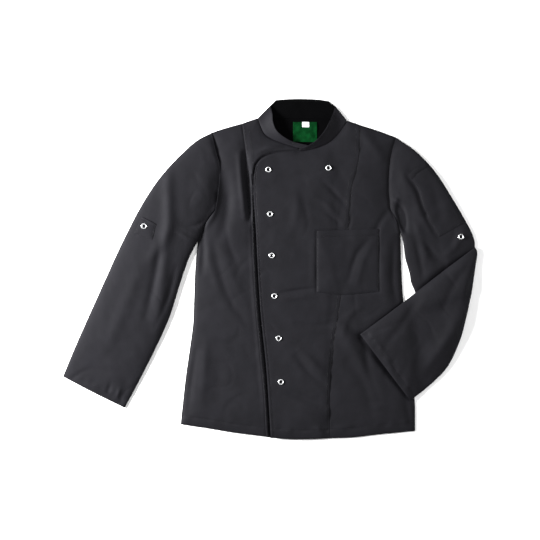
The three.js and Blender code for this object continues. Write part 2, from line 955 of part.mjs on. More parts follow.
// A stud is a turned ring whose foot follows the cloth it is set in.
function makeStud({ name, x, y }, relief) {
  const profile = [
    [studHoleRadius, 0],
    [studRadius, 0],
    [studRadius, studHeight - studBevel],
    [studRadius - studBevel, studHeight],
    [studHoleRadius + studBevel, studHeight],
    [studHoleRadius, studHeight - studBevel],
    [studHoleRadius, 0],
  ].map(([radius, height]) => new THREE.Vector2(radius, height));
  const geometry = new THREE.LatheGeometry(profile, studSides);
  geometry.rotateX(Math.PI / 2);
  geometry.translate(x, y, 0);
  const position = geometry.getAttribute("position");
  for (let n = 0; n < position.count; n += 1) {
    const cloth = relief.highestNear({ x: position.getX(n), y: position.getY(n) }, studReach);
    position.setZ(n, position.getZ(n) + cloth + seamGap);
  }
  const mesh = new THREE.Mesh(geometry, metal.clone());
  mesh.name = name;
  return mesh;
}

const jacket = new THREE.Group();
jacket.name = "chef_jacket";

const back = makeBack();
const rightFrontSide = makeRightFrontSide();
const rightFrontCentre = makeRightFrontCentre();
const leftFrontCentre = makeLeftFrontCentre(rightFrontCentre);
const leftFrontSide = makeLeftFrontSide();
const collarBack = makeCollarBack();
const collarRight = makeCollarFront(
  "collar_right_front", neckRight, collarRightTop, collarTurnRight, collarRightEnd, true, [collarBack],
);
const collarLeft = makeCollarFront(
  "collar_left_front", neckLeft, collarLeftTop, collarTurnLeft, collarLeftEnd, false,
  [rightFrontCentre, collarBack],
);
const rightSleeve = makeRightSleeve();
const upperArm = makeUpperArm();
const chestPocket = makePatch(
  "chest_pocket",
  { top: chestPocketTop, bottom: chestPocketBottom },
  pocketSteps,
  pocketReach,
  [leftFrontCentre, leftFrontSide],
);
const penPocket = makePatch(
  "pen_pocket",
  { top: penPocketTop, bottom: penPocketBottom, inner: penPocketInner, outer: penPocketOuter },
  penPocketSteps,
  smallPatchReach,
  [upperArm],
);
const tabPatch = makePatch(
  "right_sleeve_tab_patch",
  { top: tabPatchTop, bottom: tabPatchBottom },
  tabPatchSteps,
  smallPatchReach,
  [rightSleeve],
);
const forearm = makeForearm([leftFrontCentre, leftFrontSide, chestPocket, upperArm]);
const labelHeight = clothThickness + seamGap;

jacket.add(
  back,
  rightFrontSide,
  rightFrontCentre,
  leftFrontCentre,
  leftFrontSide,
  collarBack,
  collarRight,
  collarLeft,
  rightSleeve,
  upperArm,
  forearm,
  chestPocket,
  penPocket,
  tabPatch,
  makeLabel("neck_label", neckLabel, labelHeight, label),
  makeLabel("size_tab", sizeTab, labelHeight + labelThickness + seamGap, tab),
);

const studRelief = new Relief([leftFrontCentre, rightSleeve, tabPatch, upperArm]);
studs.forEach((stud) => jacket.add(makeStud(stud, studRelief)));

export default jacket;
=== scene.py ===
import math

import bmesh
import bpy
import numpy as np
from mathutils import Matrix, Vector, noise
from mathutils.bvhtree import BVHTree
from mathutils.kdtree import KDTree


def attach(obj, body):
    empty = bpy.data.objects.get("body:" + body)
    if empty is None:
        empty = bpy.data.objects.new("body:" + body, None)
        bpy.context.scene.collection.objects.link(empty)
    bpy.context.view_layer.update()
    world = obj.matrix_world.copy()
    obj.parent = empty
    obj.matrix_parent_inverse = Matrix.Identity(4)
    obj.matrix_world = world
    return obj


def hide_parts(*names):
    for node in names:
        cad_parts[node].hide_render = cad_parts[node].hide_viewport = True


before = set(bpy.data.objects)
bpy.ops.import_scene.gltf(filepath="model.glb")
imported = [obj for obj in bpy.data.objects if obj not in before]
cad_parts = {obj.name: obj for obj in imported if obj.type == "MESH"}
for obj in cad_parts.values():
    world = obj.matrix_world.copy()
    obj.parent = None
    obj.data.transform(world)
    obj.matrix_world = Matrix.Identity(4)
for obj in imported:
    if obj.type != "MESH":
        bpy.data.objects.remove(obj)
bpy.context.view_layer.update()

# Camera and light
# The jacket is seen from straight above, as it lies, with soft light from its right-hand side
# and a pale surface under it.
picture_width = 1.242
picture_middle = (0.0, -0.0023)
camera_height = 4.2
sensor_width = 36
world_strength = 0.24


def put(name, data):
    """Puts a camera, a lamp or a mesh into the scene."""
    thing = bpy.data.objects.new(name, data)
    bpy.context.scene.collection.objects.link(thing)
    return thing


camera_data = bpy.data.cameras.new("camera")
camera_data.sensor_width = sensor_width
camera_data.lens = sensor_width * camera_height / picture_width
camera = put("camera", camera_data)
camera.location = (*picture_middle, camera_height)
bpy.context.scene.camera = camera
bpy.context.scene.view_settings.view_transform = "Standard"

# Where each lamp hangs, its size and its power. All look at the middle of the jacket.
for name, place, size, power in (
    ("left_light", (-1.9, 0.3, 0.85), 0.6, 264),
    ("right_light", (2.2, 0.0, 1.1), 0.9, 30),
    ("top_light", (0.0, 0.6, 3.2), 1.6, 40),
):
    lamp = bpy.data.lights.new(name, "AREA")
    lamp.shape = "SQUARE"
    lamp.size = size
    lamp.energy = power
    light = put(name, lamp)
    light.location = place
    light.rotation_euler = (Vector() - Vector(place)).to_track_quat("-Z", "Y").to_euler()

world = bpy.data.worlds.new("studio")
world.use_nodes = True
world.node_tree.nodes["Background"].inputs["Color"].default_value = (1, 1, 1, 1)
world.node_tree.nodes["Background"].inputs["Strength"].default_value = world_strength
bpy.context.scene.world = world

# Surface
# A plain pale table top that the jacket lies on.
floor_reach = 4
floor_level = -0.0002


def put_mesh(name, shape):
    data = bpy.data.meshes.new(name)
    shape.to_mesh(data)
    shape.free()
    return put(name, data)


def plug(paint, node, sockets):
    """Gives a shader node's sockets their values, or the outputs that feed them."""
    for socket, value in sockets.items():
        if isinstance(value, bpy.types.NodeSocket):
            paint.node_tree.links.new(value, node.inputs[socket])
        else:
            node.inputs[socket].default_value = value


def new_paint(name, sockets):
    """A material and its main shader, with the shader's values."""
    paint = bpy.data.materials.new(name)
    paint.use_nodes = True
    shader = paint.node_tree.nodes["Principled BSDF"]
    plug(paint, shader, sockets)
    return paint, shader


floor_mesh = bmesh.new()
bmesh.ops.create_grid(floor_mesh, x_segments=1, y_segments=1, size=floor_reach)
floor = put_mesh("floor", floor_mesh)
floor.location.z = floor_level
floor.data.materials.append(new_paint("floor", {"Base Color": (0.93, 0.93, 0.93, 1), "Roughness": 0.9})[0])

# Back panel
# One piece of black twill cut along the body's outline, inside up where the neck leaves it bare,
# with its side edges turned under the fronts. The seam lines of the body are given here.
shoulder_right_side = [(-0.134, 0.313), (-0.11, 0.3215), (-0.064, 0.3345)]
shoulder_right_centre = [(-0.064, 0.3345), (-0.028, 0.347)]
shoulder_left_centre = [(0.177, 0.341), (0.209, 0.33)]
shoulder_left_side = [(0.209, 0.33), (0.248, 0.3175), (0.29, 0.302)]
armhole_right = [
    (-0.134, 0.313), (-0.124, 0.271), (-0.116, 0.24), (-0.116, 0.205), (-0.119, 0.172), (-0.125, 0.136),
]
underarm_right = [(-0.125, 0.136), (-0.15, 0.101), (-0.166, 0.064)]
side_right = [
    (-0.166, 0.064), (-0.1715, 0.007), (-0.1745, -0.067), (-0.1765, -0.122), (-0.1835, -0.177),
    (-0.194, -0.251), (-0.2055, -0.357),
]
armhole_left = [(0.29, 0.302), (0.277, 0.253), (0.273, 0.182), (0.276, 0.141)]
underarm_left = [(0.276, 0.141), (0.29, 0.11), (0.3, 0.084)]
side_left = [
    (0.3, 0.084), (0.302, 0.007), (0.306, -0.069), (0.319, -0.186), (0.3325, -0.3), (0.3335, -0.3725),
]
neck_back = [(-0.028, 0.347), (0.012, 0.347), (0.069, 0.346), (0.138, 0.345), (0.177, 0.341)]
hem_right_side = [
    (-0.2055, -0.357), (-0.138, -0.367), (-0.087, -0.3755), (-0.028, -0.383), (-0.009, -0.3853),
]
hem_left_side = [(0.14, -0.389), (0.193, -0.387), (0.248, -0.3805), (0.3335, -0.3725)]
hem_over_lap = [(0.002, -0.388), (0.04, -0.3905), (0.085, -0.391), (0.14, -0.389)]
hem_depth = 0.020
cloth_thickness = 0.0007
places_per_span = 24
places_per_side = 60
weld_distance = 1e-6


def walked(line):
    """How far along a line each of its places is."""
    return np.concatenate([[0], np.cumsum(np.linalg.norm(np.diff(line, axis=0), axis=1))])


def between(t, start, end, first, last):
    return (end - t) / (end - start) * first + (t - start) / (end - start) * last


def smooth_line(points, count=160):
    """A smooth line through the points, as evenly spaced places (centripetal Catmull-Rom)."""
    points = [np.array(point, float) for point in points]
    if len(points) == 2:
        return between(np.linspace(0, 1, count)[:, None], 0, 1, *points)
    points = [2 * points[0] - points[1], *points, 2 * points[-1] - points[-2]]
    pieces = []
    for p0, p1, p2, p3 in zip(points, points[1:], points[2:], points[3:]):
        t1 = np.linalg.norm(p1 - p0) ** 0.5
        t2 = t1 + np.linalg.norm(p2 - p1) ** 0.5
        t3 = t2 + np.linalg.norm(p3 - p2) ** 0.5
        t = np.linspace(t1, t2, places_per_span)[:, None]
        a1, a2, a3 = between(t, 0, t1, p0, p1), between(t, t1, t2, p1, p2), between(t, t2, t3, p2, p3)
        b1, b2 = between(t, 0, t2, a1, a2), between(t, t1, t3, a2, a3)
        pieces.append(between(t, t1, t2, b1, b2))
    line = np.concatenate(pieces)
    along = walked(line)
    even = np.linspace(0, along[-1], count)
    return np.stack([np.interp(even, along, line[:, axis]) for axis in (0, 1)], axis=1)


def edge(*stretches):
    """An edge of a piece: (points, steps) for each smooth stretch. The answer gives places from 0 to 1."""
    total = sum(steps for _, steps in stretches)
    shares, places, done = [], [], 0
    for points, steps in stretches:
        line = smooth_line(points)
        shares.append(np.linspace(done / total, (done + steps) / total, len(line)))
        places.append(line)
        done += steps
    shares, places = np.concatenate(shares), np.concatenate(places)
    return lambda share: np.stack([np.interp(share, shares, places[:, axis]) for axis in (0, 1)], axis=-1)


def spread(start, end, left, right):
    """The places of a piece between its four edges: (u, v) is across and along, each from 0 to 1."""
    corners = [start(0.0), start(1.0), end(0.0), end(1.0)]

    def at(u, v):
        u, v = np.broadcast_arrays(u, v)
        across, along = u[..., None], v[..., None]
        sides = (1 - along) * start(u) + along * end(u) + (1 - across) * left(v) + across * right(v)
        top = (1 - across) * corners[0] + across * corners[1]
        bottom = (1 - across) * corners[2] + across * corners[3]
        return sides - (1 - along) * top - along * bottom

    return at


def grid_lines(length, near, far, count):
    """Shares along a length: close lines at the given distances from both ends, and even ones between."""
    even = np.linspace(near[-1] / length, 1 - far[-1] / length, count)
    return np.concatenate([np.array(near[:-1]) / length, even, 1 - np.array(far[:-1])[::-1] / length])


def even_count(length, near, far, spacing):
    return max(3, round((1 - far[-1] / length - near[-1] / length) * length / spacing))


def side_length(at, u):
    places = at(np.full(places_per_side, u), np.linspace(0, 1, places_per_side))
    return np.linalg.norm(np.diff(places, axis=0), axis=1).sum()


def mean_length(at):
    return (side_length(at, 0.0) + side_length(at, 1.0)) / 2


def panel_grid(at, spacing, left=(0.0,), right=(0.0,), start=(0.0,), end=(0.0,)):
    """Grid places of a panel, with close lines at the distances given for each side."""
    length = mean_length(at)
    v = grid_lines(length, start, end, even_count(length, start, end, spacing))
    widths = np.linalg.norm(at(np.ones_like(v), v) - at(np.zeros_like(v), v), axis=1)
    count = even_count(widths.mean(), left, right, spacing)
    u = np.array([grid_lines(width, left, right, count) for width in widths])
    return u, np.broadcast_to(v[:, None], u.shape)


def cloth_mesh(name, places, grain, ring=False):
    """A fine sheet over a grid of places (or a tube, if the grid's two sides meet), with cloth UVs."""
    rows, columns = places.shape[:2]
    sheet = bmesh.new()
    bmesh.ops.create_grid(sheet, x_segments=columns - 1, y_segments=rows - 1, size=1)
    uv = sheet.loops.layers.uv.new("cloth")
    where = {}
    for vertex in sheet.verts:
        column = round((vertex.co.x + 1) / 2 * (columns - 1))
        row = round((1 - vertex.co.y) / 2 * (rows - 1))
        where[vertex.index] = (row, column)
        vertex.co = places[row, column]
    for face in sheet.faces:
        for loop in face.loops:
            loop[uv].uv = grain[where[loop.vert.index]]
        face.smooth = True
    if ring:
        bmesh.ops.remove_doubles(sheet, verts=sheet.verts, dist=weld_distance)
    sheet.normal_update()
    if not ring and sum(face.normal.z for face in sheet.faces) < 0:
        bmesh.ops.reverse_faces(sheet, faces=sheet.faces)
    return put_mesh(name, sheet)


# How much of a wall's thickness is softened at its edges, where they turn by more than this angle.
soft_share = 0.3
soft_angle = math.radians(50)


def give_thickness(piece, thickness, soft_edge=True):
    """Turns a sheet into a wall under its upper face, with softened edges if it has open ones."""
    wall = piece.modifiers.new("wall", "SOLIDIFY")
    wall.thickness = thickness
    wall.offset = -1
    if soft_edge:
        soft = piece.modifiers.new("soft_edge", "BEVEL")
        soft.width = thickness * soft_share
        soft.segments = 2
        soft.limit_method = "ANGLE"
        soft.angle_limit = soft_angle


def dress(piece, node, material):
    """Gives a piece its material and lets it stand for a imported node."""
    piece.data.materials.append(material)
    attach(piece, "root")
    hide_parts(node)


def flat_area(places):
    """The area of a grid, seen from above."""
    a = places[1:, 1:, :2] - places[:-1, :-1, :2]
    b = places[1:, :-1, :2] - places[:-1, 1:, :2]
    return abs(a[..., 0] * b[..., 1] - a[..., 1] * b[..., 0]).sum() / 2


# The length of one band of a wave texture at scale 1, the step from rib to rib, and the ribs' slant.
band_length = 0.314
weave_pitch = 0.0011
rib_angle = math.radians(63)


def add_node(paint, kind, sockets, **settings):
    node = paint.node_tree.nodes.new("ShaderNode" + kind)
    for setting, value in settings.items():
        setattr(node, setting, value)
    plug(paint, node, sockets)
    return node


def add_ramp(paint, source, dark, light, low=0.0, high=1.0):
    """A colour that goes from dark to light while its source rises from low to high."""
    ramp = add_node(paint, "ValToRGB", {"Fac": source})
    for stop, place, colour in zip(ramp.color_ramp.elements, (low, high), (dark, light)):
        stop.position = place
        stop.color = (*colour, 1)
    return ramp.outputs["Color"]


def twill(name, colour, gloss, sheen, mottle):
    """Poly-cotton twill: fine slanting ribs, uneven threads, soft handling marks and a faint sheen."""
    paint, shader = new_paint(name, {
        "Roughness": 0.72, "Specular IOR Level": gloss, "Sheen Weight": sheen, "Sheen Roughness": 0.45,
        "Sheen Tint": (0.75, 0.77, 0.85, 1),
    })
    cloth = add_node(paint, "UVMap", {}, uv_map="cloth").outputs["UV"]
    slant = add_node(paint, "Mapping", {"Vector": cloth, "Rotation": (0, 0, rib_angle)}).outputs["Vector"]
    ribs = add_node(paint, "TexWave", {
        "Vector": slant, "Scale": band_length / weave_pitch, "Distortion": 0.6, "Detail": 1,
    })
    threads = add_node(paint, "TexNoise", {"Vector": cloth, "Scale": 900, "Detail": 3}).outputs["Fac"]
    marks = add_node(paint, "TexNoise", {
        "Vector": cloth, "Scale": 22, "Detail": 5, "Roughness": 0.6,
    }).outputs["Fac"]
    dark, light = ([c * share for c in colour] for share in (1 - mottle, 1 + mottle))
    tone = add_ramp(paint, marks, dark, light, low=0.3, high=0.72)
    for factor, source in ((0.35, threads), (0.3, ribs.outputs["Color"])):
        mix = add_node(paint, "Mix", {"Factor": factor, "A": tone, "B": source},
                       data_type="RGBA", blend_type="MULTIPLY")
        tone = mix.outputs["Result"]
    crush = add_node(paint, "Bump", {"Strength": 0.5, "Distance": 0.0012, "Height": marks})
    weave = add_node(paint, "Bump", {
        "Strength": 0.35, "Distance": 0.00018, "Height": ribs.outputs["Fac"],
        "Normal": crush.outputs["Normal"],
    })
    plug(paint, shader, {"Base Color": tone, "Normal": weave.outputs["Normal"]})
    return paint


black_twill = twill("black_twill", (0.0084, 0.0081, 0.0104), gloss=0.075, sheen=0.012, mottle=0.17)
# The same black twill made far darker and less glossy: painted shade for the shadow that fills the inside
# of the neck.
inner_twill = twill("inner_twill", (0.0010, 0.0010, 0.0012), gloss=0.015, sheen=0.0, mottle=0.12)

side_edge_right = edge((armhole_right, 8), (underarm_right, 3), (side_right, 16))
side_edge_left = edge((armhole_left, 8), (underarm_left, 3), (side_left, 16))
back_at = spread(
    edge((shoulder_right_side, 3), (shoulder_right_centre, 1), (neck_back, 8), (shoulder_left_centre, 1),
         (shoulder_left_side, 3)),
    edge((hem_right_side, 4), ([hem_right_side[-1], hem_over_lap[0]], 2), (hem_over_lap, 4),
         (hem_left_side, 6)),
    side_edge_right,
    side_edge_left,
)
back_level = 0.0009
back_thickness = 0.0008
back_turn_in = 0.0015
back_hem_lines = (0, 0.001, 0.019, hem_depth, 0.021)
groove_depth = 0.0003
groove_reach = 0.0006
body_width = 0.48
body_length = 0.73
back_u, back_v = panel_grid(back_at, spacing=0.009, end=back_hem_lines)
turned_share = back_turn_in / body_width
back_places = back_at(turned_share + back_u * (1 - 2 * turned_share), back_v)
back_hem = groove_depth * (np.abs((1 - back_v) * body_length - hem_depth) < groove_reach)
back_places = np.dstack([back_places, back_level - back_hem])
back = cloth_mesh("back_panel", back_places, back_places[..., :2])
give_thickness(back, back_thickness)
# Its inside, bare at the neck, is drawn in the darker copy of the twill, as painted shade for the shadow
# inside the neck.
dress(back, "back", inner_twill)

# Fronts
# Four panels of black twill: each front is a centre and a side piece, joined by a princess seam
# that is felled to the centre. The left one laps over the right. The hem is turned up twice.
princess_right = [
    (-0.064, 0.3345), (-0.06, 0.305), (-0.0545, 0.262), (-0.05, 0.215), (-0.045, 0.168), (-0.0425, 0.11),
    (-0.04, 0.03), (-0.034, -0.075), (-0.024, -0.185), (-0.014, -0.29), (-0.009, -0.3853),
]
princess_left = [
    (0.209, 0.33), (0.205, 0.248), (0.189, 0.182), (0.182, 0.092), (0.164, -0.068), (0.147, -0.179),
    (0.138, -0.3), (0.14, -0.389),
]
neck_right = [
    (-0.028, 0.347), (-0.02, 0.325), (-0.012, 0.31), (0.004, 0.299), (0.036, 0.287), (0.061, 0.279),
]
neck_left = [(0.066, 0.27), (0.092, 0.274), (0.13, 0.288), (0.156, 0.31), (0.177, 0.341)]
over_lap_top = [(-0.032, 0.238), (-0.022, 0.251), (-0.002, 0.262), (0.03, 0.268), (0.066, 0.27)]
over_lap_edge = [
    (-0.032, 0.238), (-0.037, 0.205), (-0.031, 0.069), (-0.022, -0.092), (-0.008, -0.232),
    (0.002, -0.388),
]
under_lap_top = [(0.061, 0.279), (0.086, 0.262), (0.116, 0.246)]
under_lap_edge = [(0.116, 0.246), (0.116, 0.1), (0.108, -0.12), (0.1, -0.385)]
hem_under_lap = [(-0.009, -0.3853), (0.002, -0.3863), (0.1, -0.386)]
chest_pocket_top = [(0.107, 0.087), (0.18, 0.09), (0.25, 0.092)]
chest_pocket_bottom = [(0.107, -0.053), (0.166, -0.059), (0.25, -0.052)]
top_stitch = 0.006

# Points along each crease or ridge, its width, and its height.
front_folds = [
    ([(-0.058, 0.285), (-0.05, 0.225), (-0.044, 0.165), (-0.039, 0.1), (-0.035, 0.04)], 0.03, -0.003),
    ([(-0.072, 0.262), (-0.068, 0.215), (-0.063, 0.165), (-0.059, 0.12)], 0.018, 0.0026),
    ([(-0.058, 0.268), (-0.053, 0.215), (-0.049, 0.168), (-0.046, 0.115)], 0.017, -0.0072),
    ([(-0.0435, 0.232), (-0.0415, 0.19), (-0.0405, 0.15), (-0.0415, 0.1)], 0.012, 0.0026),
    ([(-0.043, 0.12), (-0.04, 0.03), (-0.034, -0.075), (-0.024, -0.185), (-0.014, -0.29), (-0.008, -0.382)],
     0.015, 0.0028),
    ([(-0.03, 0.266), (-0.006, 0.277), (0.026, 0.281)], 0.014, 0.0026),
    ([(-0.13, 0.062), (-0.118, 0.005), (-0.092, -0.07), (-0.053, -0.128)], 0.024, -0.0018),
    ([(-0.12, 0.078), (-0.104, 0.03), (-0.08, -0.03), (-0.05, -0.095)], 0.03, 0.0014),
    ([(-0.101, 0.095), (-0.092, 0.05), (-0.074, 0.01)], 0.018, -0.0011),
    ([(-0.15, 0.07), (-0.14, 0.02), (-0.12, -0.045)], 0.024, 0.0011),
    ([(-0.16, 0.092), (-0.153, 0.052), (-0.156, -0.01)], 0.022, -0.003),
    ([(-0.17, -0.186), (-0.18, -0.255), (-0.189, -0.325)], 0.018, -0.002),
    ([(-0.146, -0.16), (-0.152, -0.24), (-0.158, -0.3)], 0.03, 0.0018),
    ([(-0.118, -0.2), (-0.122, -0.3)], 0.04, -0.0012),
    ([(-0.121, 0.235), (-0.122, 0.19), (-0.124, 0.16), (-0.131, 0.127), (-0.148, 0.1)], 0.023, 0.0082),
    ([(-0.101, 0.216), (-0.097, 0.16), (-0.104, 0.105), (-0.118, 0.07)], 0.036, -0.0048),
    ([(0.12, 0.202), (0.15, 0.173), (0.177, 0.143)], 0.016, -0.0018),
    ([(0.124, 0.133), (0.145, 0.117), (0.161, 0.104)], 0.014, -0.0014),
    ([(0.1, 0.165), (0.128, 0.15), (0.15, 0.128)], 0.018, 0.0014),
    ([(0.06, 0.19), (0.062, 0.14), (0.05, 0.085)], 0.03, 0.0012),
    ([(0.023, -0.055), (0.064, -0.049), (0.108, -0.044)], 0.012, -0.0024),
    ([(0.028, -0.068), (0.07, -0.064), (0.104, -0.062)], 0.018, 0.0014),
    ([(0.212, 0.322), (0.232, 0.29), (0.253, 0.258)], 0.036, 0.0022),
    ([(0.06, -0.125), (0.1, -0.13), (0.15, -0.126)], 0.018, -0.0014),
    ([(0.069, -0.186), (0.099, -0.216), (0.127, -0.244)], 0.026, 0.0022),
    ([(0.06, -0.2), (0.09, -0.236), (0.12, -0.262)], 0.022, -0.002),
    ([(0.035, -0.278), (0.081, -0.297), (0.127, -0.313)], 0.022, -0.0022),
    ([(0.04, -0.3), (0.084, -0.32), (0.128, -0.335)], 0.026, 0.0016),
    ([(0.161, -0.129), (0.2, -0.198), (0.242, -0.267)], 0.034, 0.0022),
    ([(0.175, -0.12), (0.214, -0.17), (0.226, -0.232), (0.25, -0.3)], 0.026, -0.0026),
    ([(0.18, -0.215), (0.216, -0.262), (0.236, -0.33)], 0.03, -0.0018),
    ([(0.278, 0.14), (0.253, 0.108), (0.235, 0.067)], 0.02, -0.0018),
    ([(0.104, -0.363), (0.124, -0.375)], 0.012, 0.0018),
    ([(0.225, 0.067), (0.198, 0.03), (0.179, -0.028)], 0.018, -0.0018),
    ([(0.046, 0.18), (0.092, 0.067)], 0.06, 0.0014),
    ([(0.268, 0.06), (0.262, -0.02), (0.27, -0.07)], 0.03, 0.0016),
    ([(0.284, 0.05), (0.282, -0.03), (0.29, -0.075)], 0.018, -0.0018),
    ([(0.345, -0.058), (0.304, -0.088), (0.258, -0.122), (0.21, -0.156)], 0.026, -0.0048),
    ([(0.211, -0.15), (0.246, -0.196), (0.286, -0.246), (0.33, -0.301)], 0.03, -0.007),
    ([(0.276, 0.158), (0.286, 0.122), (0.295, 0.086)], 0.03, 0.0024),
    ([(0.279, 0.156), (0.289, 0.122), (0.297, 0.086)], 0.013, 0.0044),
    ([(0.1, 0.083), (0.1, 0.018), (0.1, -0.05)], 0.024, 0.001),
    ([(0.31, -0.29), (0.318, -0.33), (0.326, -0.362)], 0.02, -0.0018),
    ([(0.165, -0.16), (0.18, -0.11), (0.21, -0.085)], 0.022, 0.0014),
]


# How far along a fold its height begins to fade, towards either end.
fold_fade = 0.12


def fold_height(places, folds):
    """What soft folds add to the height of each place."""
    total = np.zeros(places.shape[:-1])
    for points, width, height in folds:
        line = smooth_line(points, count=24)
        begins, ends = line[:-1], line[1:]
        offset = places[..., None, :2] - begins
        step = ends - begins
        share = np.clip((offset * step).sum(-1) / (step * step).sum(-1), 0, 1)
        away = np.linalg.norm(offset - share[..., None] * step, axis=-1)
        nearest = away.argmin(-1)
        along = (nearest + np.take_along_axis(share, nearest[..., None], -1)[..., 0]) / len(begins)
        taper = np.clip(np.sin(np.pi * (fold_fade + (1 - 2 * fold_fade) * along)), 0, 1)
        total += height * taper * np.exp(-2 * (away.min(-1) / (width / 2)) ** 2)
    return total


def line_distance(places, points):
    line = smooth_line(points, count=80)
    return np.sqrt(((places[..., None, :2] - line) ** 2).sum(-1).min(-1))


def wander(scaled, seed):
    """A slow, uneven value from -1 to 1 at each of the scaled places."""
    flat = scaled[..., :2].reshape(-1, 2)
    return np.array([noise.noise(Vector((x, y, seed))) for x, y in flat]).reshape(scaled.shape[:-1])


def uneven(places, size, height, seed):
    """Slow, uneven swells of about a size, with nothing regular in them."""
    return height * wander(places / size, seed)


def fading(distance, reach):
    return np.exp(-(distance / reach) ** 2)


# A crease follows the zero line of a slow swell, this wide in it. A slower swell says where it shows.
crease_width = 0.07
patch_scale = 0.6
patch_contrast = 4
patch_seed = 9


def soft_creases(places, size, height, seed):
    """Faint, wandering creases that handling leaves in cloth, here and there."""
    share = np.clip(wander(places / size * patch_scale, seed + patch_seed) * patch_contrast, 0, 1)
    return -height * (share * fading(wander(places / size, seed), crease_width))


def piece_tree(*pieces):
    """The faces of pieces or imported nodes, to find their height at a place."""
    corners, faces = [], []
    for piece in pieces:
        start = len(corners)
        corners += [vertex.co.copy() for vertex in piece.data.vertices]
        faces += [[start + number for number in face.vertices] for face in piece.data.polygons]
    return BVHTree.FromPolygons(corners, faces)


def top_height(tree, places, missing=0.0):
    """How high the upper face stands at each place."""
    heights = np.full(places.shape[:-1], missing)
    for spot in np.ndindex(heights.shape):
        hit = tree.ray_cast(Vector((*places[spot][:2], 1.0)), Vector((0, 0, -1)))[0]
        if hit is not None:
            heights[spot] = hit.z
    return heights


def neighbours(framed):
    """The grid places before, after, left and right of each one, in a grid with a frame round it."""
    return framed[:-2, 1:-1], framed[2:, 1:-1], framed[1:-1, :-2], framed[1:-1, 2:]


def solid_height(node, places):
    """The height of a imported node's upper face at each place, carried on past its rim."""
    heights = top_height(piece_tree(bpy.data.objects[node]), places, np.nan)
    while np.isnan(heights).any():
        near = np.stack(neighbours(np.pad(heights, 1, constant_values=np.nan)))
        known = ~np.isnan(near)
        mean = np.where(known.any(0), np.nansum(near, 0) / np.maximum(known.sum(0), 1), np.nan)
        heights = np.where(np.isnan(heights), mean, heights)
    return heights


def soften(heights, passes):
    for _ in range(passes):
        heights = heights / 2 + sum(neighbours(np.pad(heights, 1, mode="edge"))) / 8
    return heights


def distance_in(at, u, v):
    """How far each grid place lies from the piece's left, right, start and end edges."""
    here, first, last = at(u, v), np.zeros_like(u), np.ones_like(u)
    sides = {"left": at(first, v), "right": at(last, v), "start": at(u, first), "end": at(u, last)}
    return {side: np.linalg.norm(here - places, axis=-1) for side, places in sides.items()}


def rolled_edge(distance, depth, reach):
    return -depth * fading(distance, reach)


def stitched_groove(distance, inset, depth=0.0004, width=0.0011):
    return -depth * fading(distance - inset, width)


pucker_reach = 0.009


def puckers(places, distance, inset, height, size, seed):
    """Small puckers that a line of stitches draws up on both its sides."""
    return uneven(places, size, 2 * height, seed) * fading(distance - inset, pucker_reach)


def four_lines(top, bottom):
    """The outline of a patch that has straight sides."""
    return [top, bottom, [top[0], bottom[0]], [top[-1], bottom[-1]]]


seam_tuck = 0.0016
front_spacing = 0.003
front_smoothing = 30
lowest_front = 0.0022
set_in_height = armhole_right[-1][1] - 0.03

# How high the fronts rise from the body's outline and over what reach, and how far in from it the
# cloth moves freely.
outline_rises = ((0.0010, 0.006), (0.0044, 0.022))
free_reach = 0.04

# The size, height and seed of the swells and of the faint creases in the fronts.
front_swell = (0.075, 0.0014, 3.1)
front_ripple = (0.022, 0.00035, 7.7)
front_creases = ((0.11, 0.0011, 1.5), (0.06, 0.0006, 6.5))

# The depth and reach of the edges that roll down, the height of the layer folded under an edge, and
# the height, size and seed of the puckers along each kind of stitching.
neck_roll = (0.0012, 0.002)
hem_roll = (0.0006, 0.0012)
turned_roll = (0.0005, 0.0010)
felled_roll = (0.0007, 0.0014)
side_roll = (0.0022, 0.0034)
pocket_press = (0.0014, 0.0022)
princess_tucks = {"left": (0.0002, 0.0026), "right": (0.0011, 0.0026)}
princess_hollow = (0.0004, 0.012)
felled_tucks = {"left": (0.0, 0.0022), "right": (0.0014, 0.0022)}
hem_layer = 0.00035
turned_layer = 0.0004
hem_puckers = (0.0006, 0.017, 5.0)
princess_puckers = (0.0003, 0.02, 9.0)
felled_puckers = (0.0005, 0.018, 2.0)
princess_inset = 0.002

# The under-lap's dip along the lap's edge, and how the edge of the lap itself stands up.
under_lap_depth = 0.0040
under_lap_reach = 0.0042
over_lap_height = 0.0004
over_lap_reach = 0.016

# The distances from an edge at which the grids of the fronts have close lines.
seam_lines = (0, 0.0006, 0.0014, 0.0028, 0.0048, 0.006, 0.0072, 0.010)
plain_lines = (0, 0.0008, 0.002, 0.004)
under_lap_lines = (*seam_lines[:-1], 0.0084, 0.0096, 0.0108, 0.012, 0.0132, 0.0146, 0.016, 0.018)
under_lap_start = (*plain_lines, *np.arange(0.006, 0.028, 0.0015))
hem_lines = (0, 0.0007, 0.002, 0.006, 0.013, 0.0185, 0.020, 0.0215, 0.025)


def pressed_lines(places):
    """The cloth is drawn in along the sewn edges of the chest pocket."""
    lines = four_lines(chest_pocket_top, chest_pocket_bottom)
    return rolled_edge(np.minimum.reduce([line_distance(places, line) for line in lines]), *pocket_press)


def from_lap_edge(places):
    return np.minimum(line_distance(places, over_lap_edge), line_distance(places, over_lap_top))


def under_lap_dip(places):
    """The under-lap sinks along the edge of the lap that lies on it."""
    return -under_lap_depth * np.exp(-(from_lap_edge(places) / under_lap_reach) ** 4)


def over_lap_lift(places):
    """The stiff edge of the lap stands a little proud of the cloth under it."""
    return over_lap_height * fading(from_lap_edge(places), over_lap_reach)


body_outline = [
    shoulder_right_side, shoulder_right_centre, neck_right, neck_left, shoulder_left_centre,
    shoulder_left_side, armhole_left, underarm_left, side_left, hem_left_side, hem_over_lap,
    hem_right_side, side_right, underarm_right, armhole_right,
]
outline_places = np.concatenate([smooth_line(points, count=100) for points in body_outline])
outline_tree = KDTree(len(outline_places))
for number, (x, y) in enumerate(outline_places):
    outline_tree.insert((x, y, 0), number)
outline_tree.balance()


